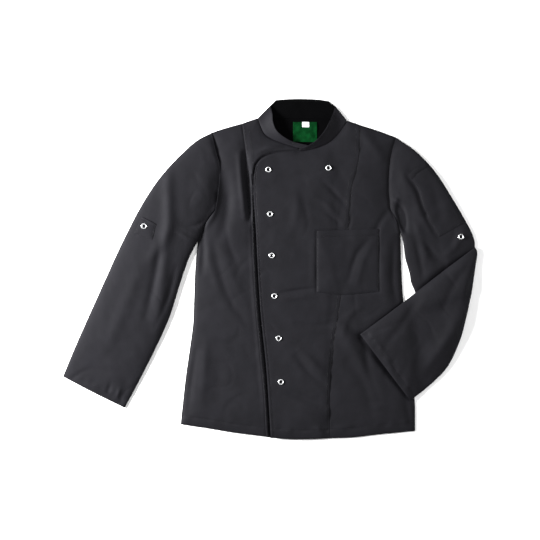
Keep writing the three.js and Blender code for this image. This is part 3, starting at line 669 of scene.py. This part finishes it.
def from_outline(places):
    """How far each place lies from the outline of the fronts."""
    flat = places.reshape(-1, places.shape[-1])[:, :2]
    return np.array([outline_tree.find((x, y, 0))[2] for x, y in flat]).reshape(places.shape[:-1])


def front_panel(name, node, edges, left, right, details, lap_shape=None, start=plain_lines):
    """One panel of a front; details says how its left and right sides are finished."""
    at = spread(*edges)
    u, v = panel_grid(at, front_spacing, left, right, start, hem_lines)
    places = at(u, v)
    near = distance_in(at, u, v)
    height = soften(solid_height(node, places), front_smoothing)
    inside = from_outline(places)
    free = 1 - np.exp(-inside / free_reach)
    height += sum(rise * (1 - np.exp(-inside / reach)) for rise, reach in outline_rises)
    height += fold_height(places, front_folds) + pressed_lines(places)
    height += uneven(places, *front_swell) * free + uneven(places, *front_ripple)
    height += sum(soft_creases(places, *crease) for crease in front_creases) * free
    if lap_shape:
        height += lap_shape(places)
    height += rolled_edge(near["end"], *hem_roll) + stitched_groove(near["end"], hem_depth)
    height += hem_layer * (near["end"] < hem_depth)
    height += puckers(places, near["end"], hem_depth, *hem_puckers)
    height += rolled_edge(near["start"], *neck_roll)
    for side, kind in details.items():
        away = near[side]
        if kind == "princess":
            height += rolled_edge(away, *princess_tucks[side]) + rolled_edge(away, *princess_hollow)
            height += puckers(places, away, princess_inset, *princess_puckers)
        if kind == "felled":
            height += rolled_edge(away, *felled_tucks[side])
            height += rolled_edge(away, *felled_roll) + stitched_groove(away, top_stitch)
            height += puckers(places, away, top_stitch, *felled_puckers)
        if kind == "side_seam":
            set_in = (side == "left") & (places[..., 1] > set_in_height)
            height += np.where(set_in, 0, rolled_edge(away, *side_roll))
        if kind == "turned":
            height += rolled_edge(away, *turned_roll) + stitched_groove(away, top_stitch)
            height += turned_layer * (away < top_stitch)
    places = np.dstack([places, np.maximum(height, lowest_front)])
    for side, column, inner in (("left", 0, 3), ("right", -1, -4)):
        if details.get(side) == "princess":
            outward = places[:, column, :2] - places[:, inner, :2]
            places[:, column, :2] += seam_tuck * outward / np.linalg.norm(outward, axis=-1)[:, None]
    piece = cloth_mesh(name, places, places[..., :2])
    give_thickness(piece, cloth_thickness)
    dress(piece, node, black_twill)
    return piece, at, flat_area(places)


princess_edge_right = edge((princess_right, 27))
princess_edge_left = edge((princess_left, 27))

right_side, right_side_at, right_side_area = front_panel(
    "right_front_side_panel", "right_front_side",
    (edge((shoulder_right_side, 6)), edge((hem_right_side, 6)), side_edge_right, princess_edge_right),
    plain_lines, plain_lines, {"left": "side_seam", "right": "princess"},
)
right_centre, right_centre_at, right_centre_area = front_panel(
    "right_front_centre_panel", "right_front_centre",
    (
        edge((shoulder_right_centre, 1), (neck_right, 8), (under_lap_top, 3)),
        edge((hem_under_lap, 12)),
        princess_edge_right,
        edge((under_lap_edge, 27)),
    ),
    under_lap_lines, plain_lines, {"left": "felled"}, under_lap_dip, under_lap_start,
)
left_centre, left_centre_at, left_centre_area = front_panel(
    "left_front_centre_panel", "left_front_centre",
    (
        edge((over_lap_top, 4), (neck_left, 8), (shoulder_left_centre, 1)),
        edge((hem_over_lap, 13)),
        edge((over_lap_edge, 27)),
        princess_edge_left,
    ),
    seam_lines, seam_lines, {"left": "turned", "right": "felled"}, over_lap_lift,
)
left_side, left_side_at, left_side_area = front_panel(
    "left_front_side_panel", "left_front_side",
    (edge((shoulder_left_side, 6)), edge((hem_left_side, 6)), princess_edge_left, side_edge_left),
    plain_lines, plain_lines, {"left": "princess", "right": "side_seam"},
)

# Collar
# A stand collar of two layers of twill, about 45 mm high, sewn into the neck seam. Its back half
# lies flat with the inside up, and its front halves stand up from the seam and meet at the lap.
collar_back_top = [(0.014, 0.3885), (0.04, 0.3905), (0.074, 0.391), (0.11, 0.3895), (0.134, 0.386)]
collar_turn_right = [(-0.028, 0.347), (-0.014, 0.361), (0.001, 0.376)]
collar_turn_left = [(0.177, 0.341), (0.161, 0.361), (0.15, 0.374)]
collar_right_seam = [*neck_right, (0.076, 0.275)]
collar_right_top = [
    (0.001, 0.376), (0.005, 0.359), (0.007, 0.337), (0.014, 0.319), (0.028, 0.305), (0.047, 0.294),
    (0.067, 0.288), (0.088, 0.284),
]
collar_left_top = [
    (0.068, 0.277), (0.086, 0.282), (0.106, 0.295), (0.123, 0.314), (0.139, 0.343), (0.147, 0.363),
    (0.15, 0.374),
]
collar_right_end = [(0.076, 0.275), (0.088, 0.284)]
collar_left_end = [(0.066, 0.27), (0.068, 0.277)]
collar_thickness = 0.0015
collar_lines = (0, 0.0005, 0.0013, 0.0026, 0.004)
lowest_collar = 0.0018
collar_spacing = 0.0025
collar_roll = (0.0007, 0.0010)
collar_stitch = 0.004
collar_swells = ((0.018, 0.0004, 4.4), (0.05, 0.0008, 8.1))


def collar_piece(name, node, edges, material, folds, under=None):
    """One stretch of the collar, which lies over the piece under it if there is one."""
    at = spread(*edges)
    u, v = panel_grid(at, collar_spacing, collar_lines, collar_lines, collar_lines, collar_lines)
    places = at(u, v)
    near = distance_in(at, u, v)
    height = soften(solid_height(node, places), passes=10) + fold_height(places, folds)
    height += sum(uneven(places, *swell) for swell in collar_swells)
    height += rolled_edge(np.minimum.reduce(list(near.values())), *collar_roll)
    if under is not None:
        over = top_height(piece_tree(under), places) + collar_thickness
        height = soften(np.maximum(height, over), passes=2)
    piece = cloth_mesh(name, np.dstack([places, np.maximum(height, lowest_collar)]), places)
    give_thickness(piece, collar_thickness)
    dress(piece, node, material)
    return piece, at


collar_back_folds = [([(0.020, 0.372), (0.074, 0.378), (0.132, 0.371)], 0.020, 0.0008)]
collar_right_folds = [
    ([(0.010, 0.318), (0.028, 0.297), (0.050, 0.288)], 0.010, 0.0008),
    ([(0.020, 0.302), (0.034, 0.291), (0.058, 0.283)], 0.004, -0.0007),
]
collar_left_folds = [([(0.094, 0.280), (0.124, 0.297), (0.148, 0.324)], 0.008, 0.0006)]
collar_back, collar_back_at = collar_piece(
    "collar_back_half", "collar_back",
    (
        edge((collar_back_top, 8)),
        edge((neck_back, 8)),
        edge(([collar_back_top[0], collar_turn_right[-1]], 1), (collar_turn_right[::-1], 3)),
        edge(([collar_back_top[-1], collar_turn_left[-1]], 1), (collar_turn_left[::-1], 3)),
    ),
    # The back half's inside is drawn in the darker copy of the twill, as painted shade for the shadow
    # inside the neck.
    inner_twill, collar_back_folds,
)
collar_right, collar_right_at = collar_piece(
    "collar_right_half", "collar_right_front",
    (edge((collar_right_seam, 8)), edge((collar_right_top, 8)), edge((collar_turn_right, 3)),
     edge((collar_right_end, 3))),
    black_twill, collar_right_folds,
)
collar_left, collar_left_at = collar_piece(
    "collar_left_half", "collar_left_front",
    (edge((neck_left, 8)), edge((collar_left_top, 8)), edge((collar_left_end, 3)),
     edge((collar_turn_left, 3))),
    black_twill, collar_left_folds, under=collar_right,
)

# Sleeves
# Each is a tube of twill set into the armhole and hemmed at the cuff. The right one lies straight.
# The left one is bent at the elbow, so that its forearm lies over the upper arm and the front.
sleeve_right_outer = [
    (-0.134, 0.313), (-0.166, 0.2965), (-0.203, 0.2645), (-0.238, 0.228), (-0.267, 0.191),
    (-0.301, 0.136), (-0.348, 0.043), (-0.379, -0.025), (-0.447, -0.177), (-0.476, -0.247),
]
sleeve_right_inner = [
    (-0.166, 0.064), (-0.186, 0.0255), (-0.2055, -0.03), (-0.2285, -0.1035), (-0.2435, -0.1405),
    (-0.2695, -0.1955), (-0.307, -0.269), (-0.334, -0.319),
]
cuff_right = [(-0.476, -0.247), (-0.405, -0.284), (-0.334, -0.319)]
upper_arm_outer = [
    (0.29, 0.302), (0.331, 0.274), (0.359, 0.2475), (0.386, 0.215), (0.414, 0.171), (0.442, 0.124),
    (0.465, 0.0805), (0.471, 0.058), (0.463, 0.005), (0.45, -0.045),
]
upper_arm_inner = [
    (0.3, 0.084), (0.306, 0.062), (0.311, 0.025), (0.321, -0.0115), (0.324, -0.03), (0.3315, -0.0485),
    (0.345, -0.08),
]
upper_arm_end = [(0.345, -0.080), (0.450, -0.045)]
elbow = [(0.471, 0.05), (0.476, 0.04), (0.472, 0.004), (0.463, -0.056)]
forearm_upper = [(0.471, 0.05), (0.407, 0.002), (0.337, -0.052), (0.3, -0.081), (0.207, -0.15)]
forearm_lower = [
    (0.463, -0.056), (0.450, -0.117), (0.437, -0.163), (0.407, -0.226), (0.360, -0.273), (0.322, -0.302),
]
cuff_left = [(0.207, -0.150), (0.322, -0.302)]
cuff_depth = 0.0155
sleeve_edge_height = 0.0017
sleeve_spacing = 0.0034
columns_around = 136
fold_bulge = 0.004
curl_length = 0.03
curl_rows = 13
on_floor = 0.0002

# The section of a flattened tube: how full its top is, how far its two walls stand apart at least,
# how deep its lower wall hangs and how full that is, and how strong the folds are in its top.
tube_fullness = 0.65
least_gap = 0.0003
lower_depth = 0.0015
lower_fullness = 0.3
fold_strength = 1.3
fold_spread = 1.6
sunk_reach = 0.0055

# The size, height and seed of the swells and of the faint creases in the sleeves. The puckers along
# the cuff and the armhole have their height first.
sleeve_swells = ((0.07, 0.0016, 2.2), (0.021, 0.0004, 6.2))
sleeve_creases = ((0.1, 0.0013, 4.5), (0.05, 0.0007, 8.5))
cuff_roll = (0.0004, 0.0012)
cuff_puckers = (0.0008, 0.014, 1.7)
armhole_inset = 0.004
armhole_puckers = (0.0008, 0.02, 3.3)

# How high each sleeve stands from its armhole or elbow (0) to its cuff (1).
right_crests = [(0, 0.012), (0.06, 0.0135), (0.2, 0.016), (0.5, 0.016), (0.8, 0.013), (1, 0.009)]
upper_arm_crests = [(0, 0.0046), (0.12, 0.009), (0.35, 0.0115), (0.75, 0.0085), (1, 0.006)]
forearm_crests = [(0, 0.006), (0.15, 0.0095), (0.4, 0.0115), (0.8, 0.0105), (1, 0.0085)]

right_sleeve_folds = [
    ([(-0.235, 0.222), (-0.232, 0.138), (-0.235, 0.087), (-0.275, 0.021)], 0.038, 0.0042),
    ([(-0.234, 0.087), (-0.241, 0.023), (-0.258, -0.14)], 0.036, 0.0026),
    ([(-0.25, 0.07), (-0.262, -0.01), (-0.285, -0.11)], 0.024, -0.0022),
    ([(-0.16, 0.262), (-0.186, 0.19), (-0.19, 0.11)], 0.05, -0.0008),
    ([(-0.29, 0.01), (-0.33, -0.08), (-0.372, -0.18)], 0.04, 0.0016),
    ([(-0.215, 0.005), (-0.236, -0.07), (-0.262, -0.13)], 0.018, -0.0014),
    ([(-0.35, -0.294), (-0.346, -0.276)], 0.01, 0.0016),
    ([(-0.372, -0.285), (-0.366, -0.262)], 0.012, -0.0013),
    ([(-0.15, 0.11), (-0.176, 0.098), (-0.205, 0.103)], 0.016, -0.0016),
    ([(-0.168, 0.066), (-0.186, 0.07), (-0.212, 0.085)], 0.014, 0.0014),
    ([(-0.112, 0.23), (-0.116, 0.165), (-0.13, 0.122)], 0.064, -0.006),
]
upper_arm_folds = [
    ([(0.297, 0.15), (0.303, 0.12), (0.309, 0.09)], 0.024, -0.0105),
    ([(0.316, 0.148), (0.321, 0.115), (0.325, 0.082)], 0.044, -0.0034),
    ([(0.372, 0.194), (0.386, 0.146), (0.396, 0.097)], 0.026, -0.0022),
    ([(0.345, 0.074), (0.366, 0.046), (0.386, 0.012)], 0.022, -0.0019),
    ([(0.382, 0.025), (0.41, 0.012)], 0.018, -0.0016),
    ([(0.33, 0.11), (0.352, 0.06), (0.362, 0.02)], 0.022, 0.0014),
    ([(0.3, 0.24), (0.312, 0.19), (0.322, 0.14)], 0.04, 0.002),
    ([(0.466, 0.036), (0.404, -0.007), (0.343, -0.054)], 0.028, -0.0064),
    ([(0.314, 0.213), (0.334, 0.187), (0.35, 0.142), (0.368, 0.101), (0.385, 0.073)], 0.012, -0.0017),
    ([(0.305, 0.208), (0.325, 0.182), (0.341, 0.138), (0.359, 0.097), (0.376, 0.07)], 0.02, 0.001),
    ([(0.284, 0.16), (0.305, 0.151)], 0.012, 0.0026),
    ([(0.447, 0.09), (0.425, 0.05), (0.4, 0.03)], 0.024, 0.002),
    ([(0.333, 0.07), (0.345, 0.02), (0.352, -0.02)], 0.02, -0.0018),
]
forearm_folds = [
    ([(0.454, -0.02), (0.428, -0.125), (0.362, -0.222)], 0.076, 0.0046),
    ([(0.462, 0.02), (0.42, -0.04), (0.394, -0.1)], 0.024, -0.0013),
    ([(0.34, -0.07), (0.3, -0.13), (0.262, -0.18)], 0.028, -0.0016),
    ([(0.43, -0.12), (0.392, -0.18), (0.352, -0.236)], 0.034, 0.0018),
    ([(0.24, -0.158), (0.262, -0.2), (0.29, -0.252)], 0.02, 0.0014),
]


def sleeve(name, node, edges, crests, folds, low, start_lines, end_lines, sunk=0.0, elbow_fold=False):
    """A flattened tube of cloth. The answer of low is the height of what lies under each place, and
    sunk is the share by which the cloth drops at the armhole seam."""
    at = spread(*edges)
    length = mean_length(at)
    count = even_count(length, start_lines, end_lines, sleeve_spacing)
    turn = np.linspace(0, 2 * np.pi, columns_around + 1)
    across = (1 - np.cos(turn)) / 2
    u, v = np.meshgrid(across, grid_lines(length, start_lines, end_lines, count))
    places = at(u, v)
    near = distance_in(at, u, v)
    bulge = np.abs(np.sin(turn))
    full = (np.interp(v, *zip(*crests)) - sleeve_edge_height) * bulge ** tube_fullness
    full += fold_strength * fold_height(places, folds) * np.minimum(1, fold_spread * bulge)
    full += sum(uneven(places, *swell) * bulge for swell in sleeve_swells)
    full += sum(soft_creases(places, *crease) for crease in sleeve_creases) * bulge
    full *= 1 - sunk * fading(near["start"], sunk_reach)
    full += stitched_groove(near["end"], cuff_depth) + rolled_edge(near["end"], *cuff_roll)
    full += puckers(places, near["end"], cuff_depth, *cuff_puckers)
    if not elbow_fold:
        full += puckers(places, near["start"], armhole_inset, *armhole_puckers)
    rim = low(places) + sleeve_edge_height
    raised = rim + np.maximum(full, least_gap * bulge)
    lowered = rim - lower_depth * bulge ** lower_fullness
    ring = np.dstack([places, np.where(np.sin(turn) > 0, raised, lowered)])
    if elbow_fold:
        ring = folded_end(ring, raised, lowered, at, u)
    width = np.linalg.norm(at(1.0, v[:, 0]) - at(0.0, v[:, 0]), axis=-1)
    curled = np.linspace(-curl_length, 0, len(ring) - len(v))
    along = np.concatenate([curled, v[:, 0] * length])
    widths = np.concatenate([np.full(len(curled), width[0]), width])
    sides = np.concatenate([[0], np.cumsum(np.abs(np.diff(across)))])
    grain = np.dstack([sides[None, :] * widths[:, None], np.broadcast_to(along[:, None], ring.shape[:2])])
    piece = cloth_mesh(name, ring, grain, ring=True)
    give_thickness(piece, cloth_thickness, soft_edge=False)
    dress(piece, node, black_twill)
    return piece, at


def folded_end(ring, raised, lowered, at, u):
    """The cloth past the elbow edge curls down and under, as it goes on into the upper arm."""
    first, inner = at(u[0], np.zeros_like(u[0])), at(u[0], np.full_like(u[0], 0.02))
    outward = (first - inner) / np.linalg.norm(first - inner, axis=-1)[:, None]
    depth = (raised[0] - ring[0, :, 2]) / np.maximum(raised[0] - lowered[0], weld_distance)
    bottom = 0.0006 + 0.0008 * depth
    reach = fold_bulge * (1 - 0.3 * depth)
    shift = np.zeros_like(ring)
    fade = np.exp(-np.linalg.norm(ring[..., :2] - ring[:1, :, :2], axis=-1) / 0.015)
    shift[..., :2] = -outward * (fold_bulge * fade)[..., None]
    ring = ring + shift
    curl = []
    for angle in np.linspace(np.pi, 0, curl_rows)[:-1]:
        places = ring[0, :, :2] + outward * (reach * np.sin(angle))[:, None]
        height = bottom + (ring[0, :, 2] - bottom) * (1 + np.cos(angle)) / 2
        curl.append(np.dstack([places[None], height[None]])[0])
    return np.concatenate([np.array(curl), ring])


def on_the_table(places):
    return np.full(places.shape[:-1], on_floor)


armhole_lines = (0, 0.0007, 0.0016, 0.0034, 0.006)
cuff_lines = (0, 0.0006, 0.0016, 0.004, 0.009, 0.014, 0.0155, 0.017, 0.021)
right_sleeve, right_sleeve_at = sleeve(
    "right_sleeve_tube", "right_sleeve",
    (
        edge((armhole_right, 8)),
        edge((cuff_right, 8)),
        edge((sleeve_right_outer, 18)),
        edge((underarm_right, 3), (sleeve_right_inner, 15)),
    ),
    right_crests, right_sleeve_folds, on_the_table, armhole_lines, cuff_lines, sunk=0.35,
)
upper_arm, _ = sleeve(
    "left_upper_arm_tube", "left_sleeve_upper_arm",
    (
        edge((armhole_left[::-1], 8)),
        edge((upper_arm_end, 8)),
        edge((underarm_left, 3), (upper_arm_inner, 6)),
        edge((upper_arm_outer, 9)),
    ),
    upper_arm_crests, upper_arm_folds, on_the_table, armhole_lines, plain_lines, sunk=0.35,
)

# Pockets and tab patch
# Patches of the same twill, hemmed and sewn on: one on the left chest, one for pens on the left
# sleeve, and the patch on the right sleeve that a roll-up tab is snapped to.
pen_pocket_top = [(0.317, 0.216), (0.333, 0.23), (0.355, 0.243)]
pen_pocket_bottom = [(0.388, 0.074), (0.447, 0.107)]
pen_pocket_inner = [(0.317, 0.216), (0.337, 0.189), (0.353, 0.143), (0.371, 0.103), (0.388, 0.074)]
pen_pocket_outer = [(0.355, 0.243), (0.384, 0.211), (0.411, 0.169), (0.447, 0.107)]
tab_patch_top = [(-0.294, 0.12), (-0.261, 0.103)]
tab_patch_bottom = [(-0.312, 0.083), (-0.27, 0.066)]
patch_thickness = 0.0006
pocket_folds = [
    ([(0.226, 0.068), (0.198, 0.03), (0.18, -0.028)], 0.016, -0.0014),
    ([(0.236, 0.06), (0.214, 0.02), (0.2, -0.034)], 0.02, 0.0012),
    ([(0.112, 0.06), (0.14, 0.012), (0.15, -0.04)], 0.03, 0.0008),
]
patch_lines = (0, 0.0005, 0.0012, 0.0022, 0.0034)
patch_spacing = 0.0032
patch_stitch = 0.002
patch_gap = 0.0009
patch_fullness = 0.0010
patch_reach = 0.012
hem_fold = 0.0005
patch_ripple = (0.016, 0.00035, 5.5)
patch_roll = (0.0003, 0.0007)
mouth_roll = (0.0003, 0.0008)
patch_groove = (0.00025, 0.0008)
mouth_groove = (0.0004, 0.001)
chest_pocket_hem = 0.015
pen_pocket_hem = 0.012
tab_patch_hem = 0.004


def patch(name, node, edges, under, folds, hem):
    """A patch sewn on along its sides and its end, with a hem at its start."""
    at = spread(*edges)
    mouth_lines = (0, 0.0005, 0.0015, hem - 0.001, hem, hem + 0.001)
    u, v = panel_grid(at, patch_spacing, patch_lines, patch_lines, mouth_lines, patch_lines)
    places = at(u, v)
    near = distance_in(at, u, v)
    sewn = np.minimum.reduce([near["left"], near["right"], near["end"]])
    height = soften(top_height(piece_tree(*under), places), passes=12) + patch_gap
    height += fold_height(places, folds)
    height += patch_fullness * (1 - np.exp(-sewn / patch_reach)) + uneven(places, *patch_ripple)
    height += rolled_edge(sewn, *patch_roll) + stitched_groove(sewn, patch_stitch, *patch_groove)
    height += hem_fold * (near["start"] < hem) + stitched_groove(near["start"], hem, *mouth_groove)
    height += rolled_edge(near["start"], *mouth_roll)
    piece = cloth_mesh(name, np.dstack([places, height]), places)
    give_thickness(piece, patch_thickness)
    dress(piece, node, black_twill)
    return piece, at


chest_pocket, chest_pocket_at = patch(
    "chest_pocket_patch", "chest_pocket",
    [edge((line, 8)) for line in four_lines(chest_pocket_top, chest_pocket_bottom)],
    [left_centre, left_side], pocket_folds, chest_pocket_hem,
)
pen_pocket, pen_pocket_at = patch(
    "pen_pocket_patch", "pen_pocket",
    [edge((line, 6)) for line in (pen_pocket_top, pen_pocket_bottom, pen_pocket_inner, pen_pocket_outer)],
    [upper_arm], [], pen_pocket_hem,
)
tab_patch, tab_patch_at = patch(
    "tab_patch", "right_sleeve_tab_patch",
    [edge((line, 3)) for line in four_lines(tab_patch_top, tab_patch_bottom)],
    [right_sleeve], [], tab_patch_hem,
)

# Left forearm
# The lower half of the left sleeve, from the fold at the elbow to its hemmed cuff. It rests on the
# upper arm, the front and the pocket, and spans the steps between them.
forearm_gap = 0.0008
under_forearm = piece_tree(upper_arm, left_side, left_centre, chest_pocket)


def on_the_front(places):
    heights = top_height(under_forearm, places)
    for _ in range(5):
        framed = np.pad(np.pad(heights, ((1, 1), (0, 0)), mode="edge"), ((0, 0), (1, 1)), mode="wrap")
        heights = np.maximum.reduce([heights, *neighbours(framed)])
    return soften(heights, passes=30) + forearm_gap


forearm, forearm_at = sleeve(
    "left_forearm_tube", "left_sleeve_forearm",
    (
        edge((elbow, 8)),
        edge((cuff_left, 8)),
        edge((forearm_upper, 11)),
        edge((forearm_lower, 11)),
    ),
    forearm_crests, forearm_folds, on_the_front, plain_lines, cuff_lines, elbow_fold=True,
)

# Neck label and size tab
# A bare green satin label sewn inside the back of the neck, and a small bare white tab of woven
# tape caught in its top seam.
label_corners = ((0.053, 0.292), (0.108, 0.338))
tab_corners = ((0.074, 0.326), (0.090, 0.338))
label_spacing = 0.0016
label_thickness = 0.0004
label_swell_size = 0.014
label_roll = (0.0002, 0.001)


def woven_label(name, colour, roughness, gloss, pitch):
    """A woven ribbon: fine level ribs and a slightly uneven colour."""
    paint, shader = new_paint(name, {"Roughness": roughness, "Specular IOR Level": gloss})
    cloth = add_node(paint, "UVMap", {}, uv_map="cloth").outputs["UV"]
    ribs = add_node(paint, "TexWave", {"Vector": cloth, "Scale": band_length / pitch}, bands_direction="Y")
    blots = add_node(paint, "TexNoise", {"Vector": cloth, "Scale": 90, "Detail": 4})
    dark, light = ([share * c for c in colour] for share in (0.6, 1.5))
    bump = add_node(paint, "Bump", {"Strength": 0.4, "Distance": 0.0001, "Height": ribs.outputs["Fac"]})
    tone = add_ramp(paint, blots.outputs["Fac"], dark, light, low=0.3, high=0.7)
    plug(paint, shader, {"Base Color": tone, "Normal": bump.outputs["Normal"]})
    return paint


def flat_label(name, node, corners, level, material, swell):
    (left, low), (right, high) = corners
    x = np.linspace(left, right, max(9, round((right - left) / label_spacing)))
    y = np.linspace(high, low, max(9, round((high - low) / label_spacing)))
    places = np.dstack(np.meshgrid(x, y))
    height = level + uneven(places, label_swell_size, swell, seed=1.3)
    height += rolled_edge(places[..., 1] - low, *label_roll)
    piece = cloth_mesh(name, np.dstack([places, height]), places)
    give_thickness(piece, label_thickness)
    dress(piece, node, material)
    return piece


label_level = 0.0024
tab_level = 0.0036
green_satin = woven_label("green_satin", (0.0006, 0.0205, 0.0043), roughness=0.5, gloss=0.02, pitch=0.0005)
white_tape = woven_label("white_tape", (0.62, 0.63, 0.64), roughness=0.7, gloss=0.2, pitch=0.0006)
neck_label = flat_label("green_label", "neck_label", label_corners, label_level, green_satin,
                        swell=0.0014)
size_tab = flat_label("white_tab", "size_tab", tab_corners, tab_level, white_tape, swell=0.0003)

# Stitching
# Black polyester thread, a stitch every 3 mm, in single lines along hems, edges and patches and in
# a double line down the felled princess seams.
stitch_pitch = 0.0030
stitch_length = 0.0024
thread_radius = 0.00022
stitches_per_run = 20
places_per_seam = 200
seam_stitches = (0.0016, top_stitch + 0.0008)
cuff_stretch = (0.02, 0.98)
thread_black, thread_shader = new_paint("thread", {"Roughness": 0.45, "Specular IOR Level": 0.2})
thread_spots = add_node(thread_black, "TexNoise", {"Scale": 4000}).outputs["Fac"]
thread_tone = add_ramp(thread_black, thread_spots, (0.0012, 0.0012, 0.0015), (0.0042, 0.0042, 0.0050))
plug(thread_black, thread_shader, {"Base Color": thread_tone})


def sewn_line(at, side, inset, begins=0.0, ends=1.0):
    """The line that lies inside a piece's edge by an inset."""
    share = np.linspace(begins, ends, places_per_seam)
    if side in ("left", "right"):
        width = np.linalg.norm(at(np.ones_like(share), share) - at(np.zeros_like(share), share), axis=-1)
        u = inset / width if side == "left" else 1 - inset / width
        return at(u, share)
    length = np.array([side_length(at, u) for u in share])
    v = inset / length if side == "start" else 1 - inset / length
    return at(share, v)


def sew(name, lines, pieces):
    """Joined stitches that lie along the lines, on top of the pieces."""
    tree = piece_tree(*pieces)
    thread = bmesh.new()
    run = bpy.data.meshes.new("run")
    for line in lines:
        along = walked(line)
        middles = np.arange(stitch_pitch / 2, along[-1], stitch_pitch)
        for first in range(0, len(middles), stitches_per_run):
            short_run = bmesh.new()
            for middle in middles[first:first + stitches_per_run]:
                ends = []
                for place in (middle - stitch_length / 2, middle + stitch_length / 2):
                    x, y = (np.interp(place, along, line[:, axis]) for axis in (0, 1))
                    ends.append(tree.ray_cast(Vector((x, y, 1.0)), Vector((0, 0, -1)))[0])
                if None in ends or (ends[1] - ends[0]).length > 2 * stitch_length:
                    continue
                lie = (ends[1] - ends[0]).to_track_quat("Z", "Y").to_matrix().to_4x4()
                stretch = Matrix.Diagonal((1, 1, stitch_length / 2 / thread_radius, 1))
                place = Matrix.Translation((ends[0] + ends[1]) / 2 + Vector((0, 0, 0.4 * thread_radius)))
                bmesh.ops.create_uvsphere(short_run, u_segments=6, v_segments=4, radius=thread_radius,
                                          matrix=place @ lie @ stretch)
            short_run.to_mesh(run)
            short_run.free()
            thread.from_mesh(run)
    for face in thread.faces:
        face.smooth = True
    bpy.data.meshes.remove(run)
    stitches = put_mesh(name, thread)
    stitches.data.materials.append(thread_black)
    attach(stitches, "root")


fronts = [right_side, right_centre, left_centre, left_side]
front_places = [right_side_at, right_centre_at, left_centre_at, left_side_at]
patch_hems = (
    (chest_pocket_at, chest_pocket_hem), (pen_pocket_at, pen_pocket_hem), (tab_patch_at, patch_stitch),
)
sew("hem_stitches", [sewn_line(at, "end", hem_depth) for at in front_places], fronts)
sew("edge_stitches", [
    sewn_line(left_centre_at, "left", top_stitch),
    *[sewn_line(left_centre_at, "right", inset) for inset in seam_stitches],
    *[sewn_line(right_centre_at, "left", inset) for inset in seam_stitches],
], fronts)
sew("cuff_stitches",
    [sewn_line(at, "end", cuff_depth, *cuff_stretch) for at in (right_sleeve_at, forearm_at)],
    [right_sleeve, forearm])
sew("patch_stitches", [
    *[sewn_line(at, side, patch_stitch) for at, _ in patch_hems for side in ("left", "right", "end")],
    *[sewn_line(at, "start", inset) for at, inset in patch_hems],
], [chest_pocket, pen_pocket, tab_patch])
sew("collar_stitches", [
    sewn_line(at, side, collar_stitch)
    for at, side in ((collar_right_at, "end"), (collar_left_at, "end"), (collar_back_at, "start"))
], [collar_right, collar_left, collar_back])

# Ring snaps
# Nickel-plated ring snaps, 13.6 mm across: a rolled ring pressed through the cloth round a dark,
# sunk centre.
dark_radius = 0.0035
snap_lift = 0.0004
snap_upright = 0.72
spin_steps = 40
snap_metal, metal_shader = new_paint("nickel", {"Metallic": 1, "Base Color": (0.80, 0.81, 0.82, 1)})
metal_marks = add_node(snap_metal, "TexNoise", {"Scale": 700, "Detail": 4}).outputs["Fac"]
metal_range = add_node(snap_metal, "MapRange", {"Value": metal_marks, "To Min": 0.14, "To Max": 0.34})
plug(snap_metal, metal_shader, {"Roughness": metal_range.outputs["Result"]})
snap_centre, centre_shader = new_paint("dark_metal", {"Metallic": 1, "Roughness": 0.5})
centre_marks = add_node(snap_centre, "TexNoise", {"Scale": 900}).outputs["Fac"]
centre_tone = add_ramp(snap_centre, centre_marks, (0.02, 0.02, 0.022), (0.07, 0.07, 0.075))
plug(snap_centre, centre_shader, {"Base Color": centre_tone})

# The section of a ring snap from its outer foot over the rolled rim and down to its sunk centre.
snap_section = [
    (0.0066, -0.0006), (0.0068, 0.0003), (0.0066, 0.0010), (0.0061, 0.0016), (0.0054, 0.0019),
    (0.0047, 0.0018), (0.0041, 0.0014), (0.0037, 0.0008), (0.0036, 0.0001), (0.0033, -0.0006),
    (0.0020, -0.0009), (0.0, -0.0010),
]
snap_places = {
    "stud_top_left": (0.134, 0.232), "stud_front_1": (-0.004, 0.228), "stud_front_2": (0.0, 0.126),
    "stud_front_3": (0.004, 0.031), "stud_front_4": (0.010, -0.062), "stud_front_5": (0.020, -0.159),
    "stud_front_6": (0.025, -0.259), "stud_right_sleeve": (-0.289, 0.098),
    "stud_left_sleeve": (0.438, 0.074),
}
snapped = piece_tree(left_centre, right_sleeve, tab_patch, upper_arm)
for node, (x, y) in snap_places.items():
    hit, normal = snapped.ray_cast(Vector((x, y, 1.0)), Vector((0, 0, -1)))[:2]
    if normal.z < 0:
        normal = -normal
    lie = normal.lerp(Vector((0, 0, 1)), snap_upright).to_track_quat("Z", "Y").to_matrix().to_4x4()
    seat = Matrix.Translation(hit + Vector((0, 0, snap_lift)))
    ring = bmesh.new()
    corners = [ring.verts.new((radius, 0, height)) for radius, height in snap_section]
    lines = [ring.edges.new(pair) for pair in zip(corners, corners[1:])]
    bmesh.ops.spin(ring, geom=[*corners, *lines], axis=(0, 0, 1), cent=(0, 0, 0), steps=spin_steps,
                   angle=2 * math.pi, use_merge=True)
    bmesh.ops.remove_doubles(ring, verts=ring.verts, dist=weld_distance)
    bmesh.ops.recalc_face_normals(ring, faces=ring.faces)
    for face in ring.faces:
        face.smooth = True
        face.material_index = int(face.calc_center_median().xy.length < dark_radius)
    if sum(face.normal.z for face in ring.faces) < 0:
        bmesh.ops.reverse_faces(ring, faces=ring.faces)
    bmesh.ops.transform(ring, verts=ring.verts, matrix=seat @ lie)
    snap = put_mesh(node + "_ring", ring)
    snap.data.materials.append(snap_metal)
    dress(snap, node, snap_centre)
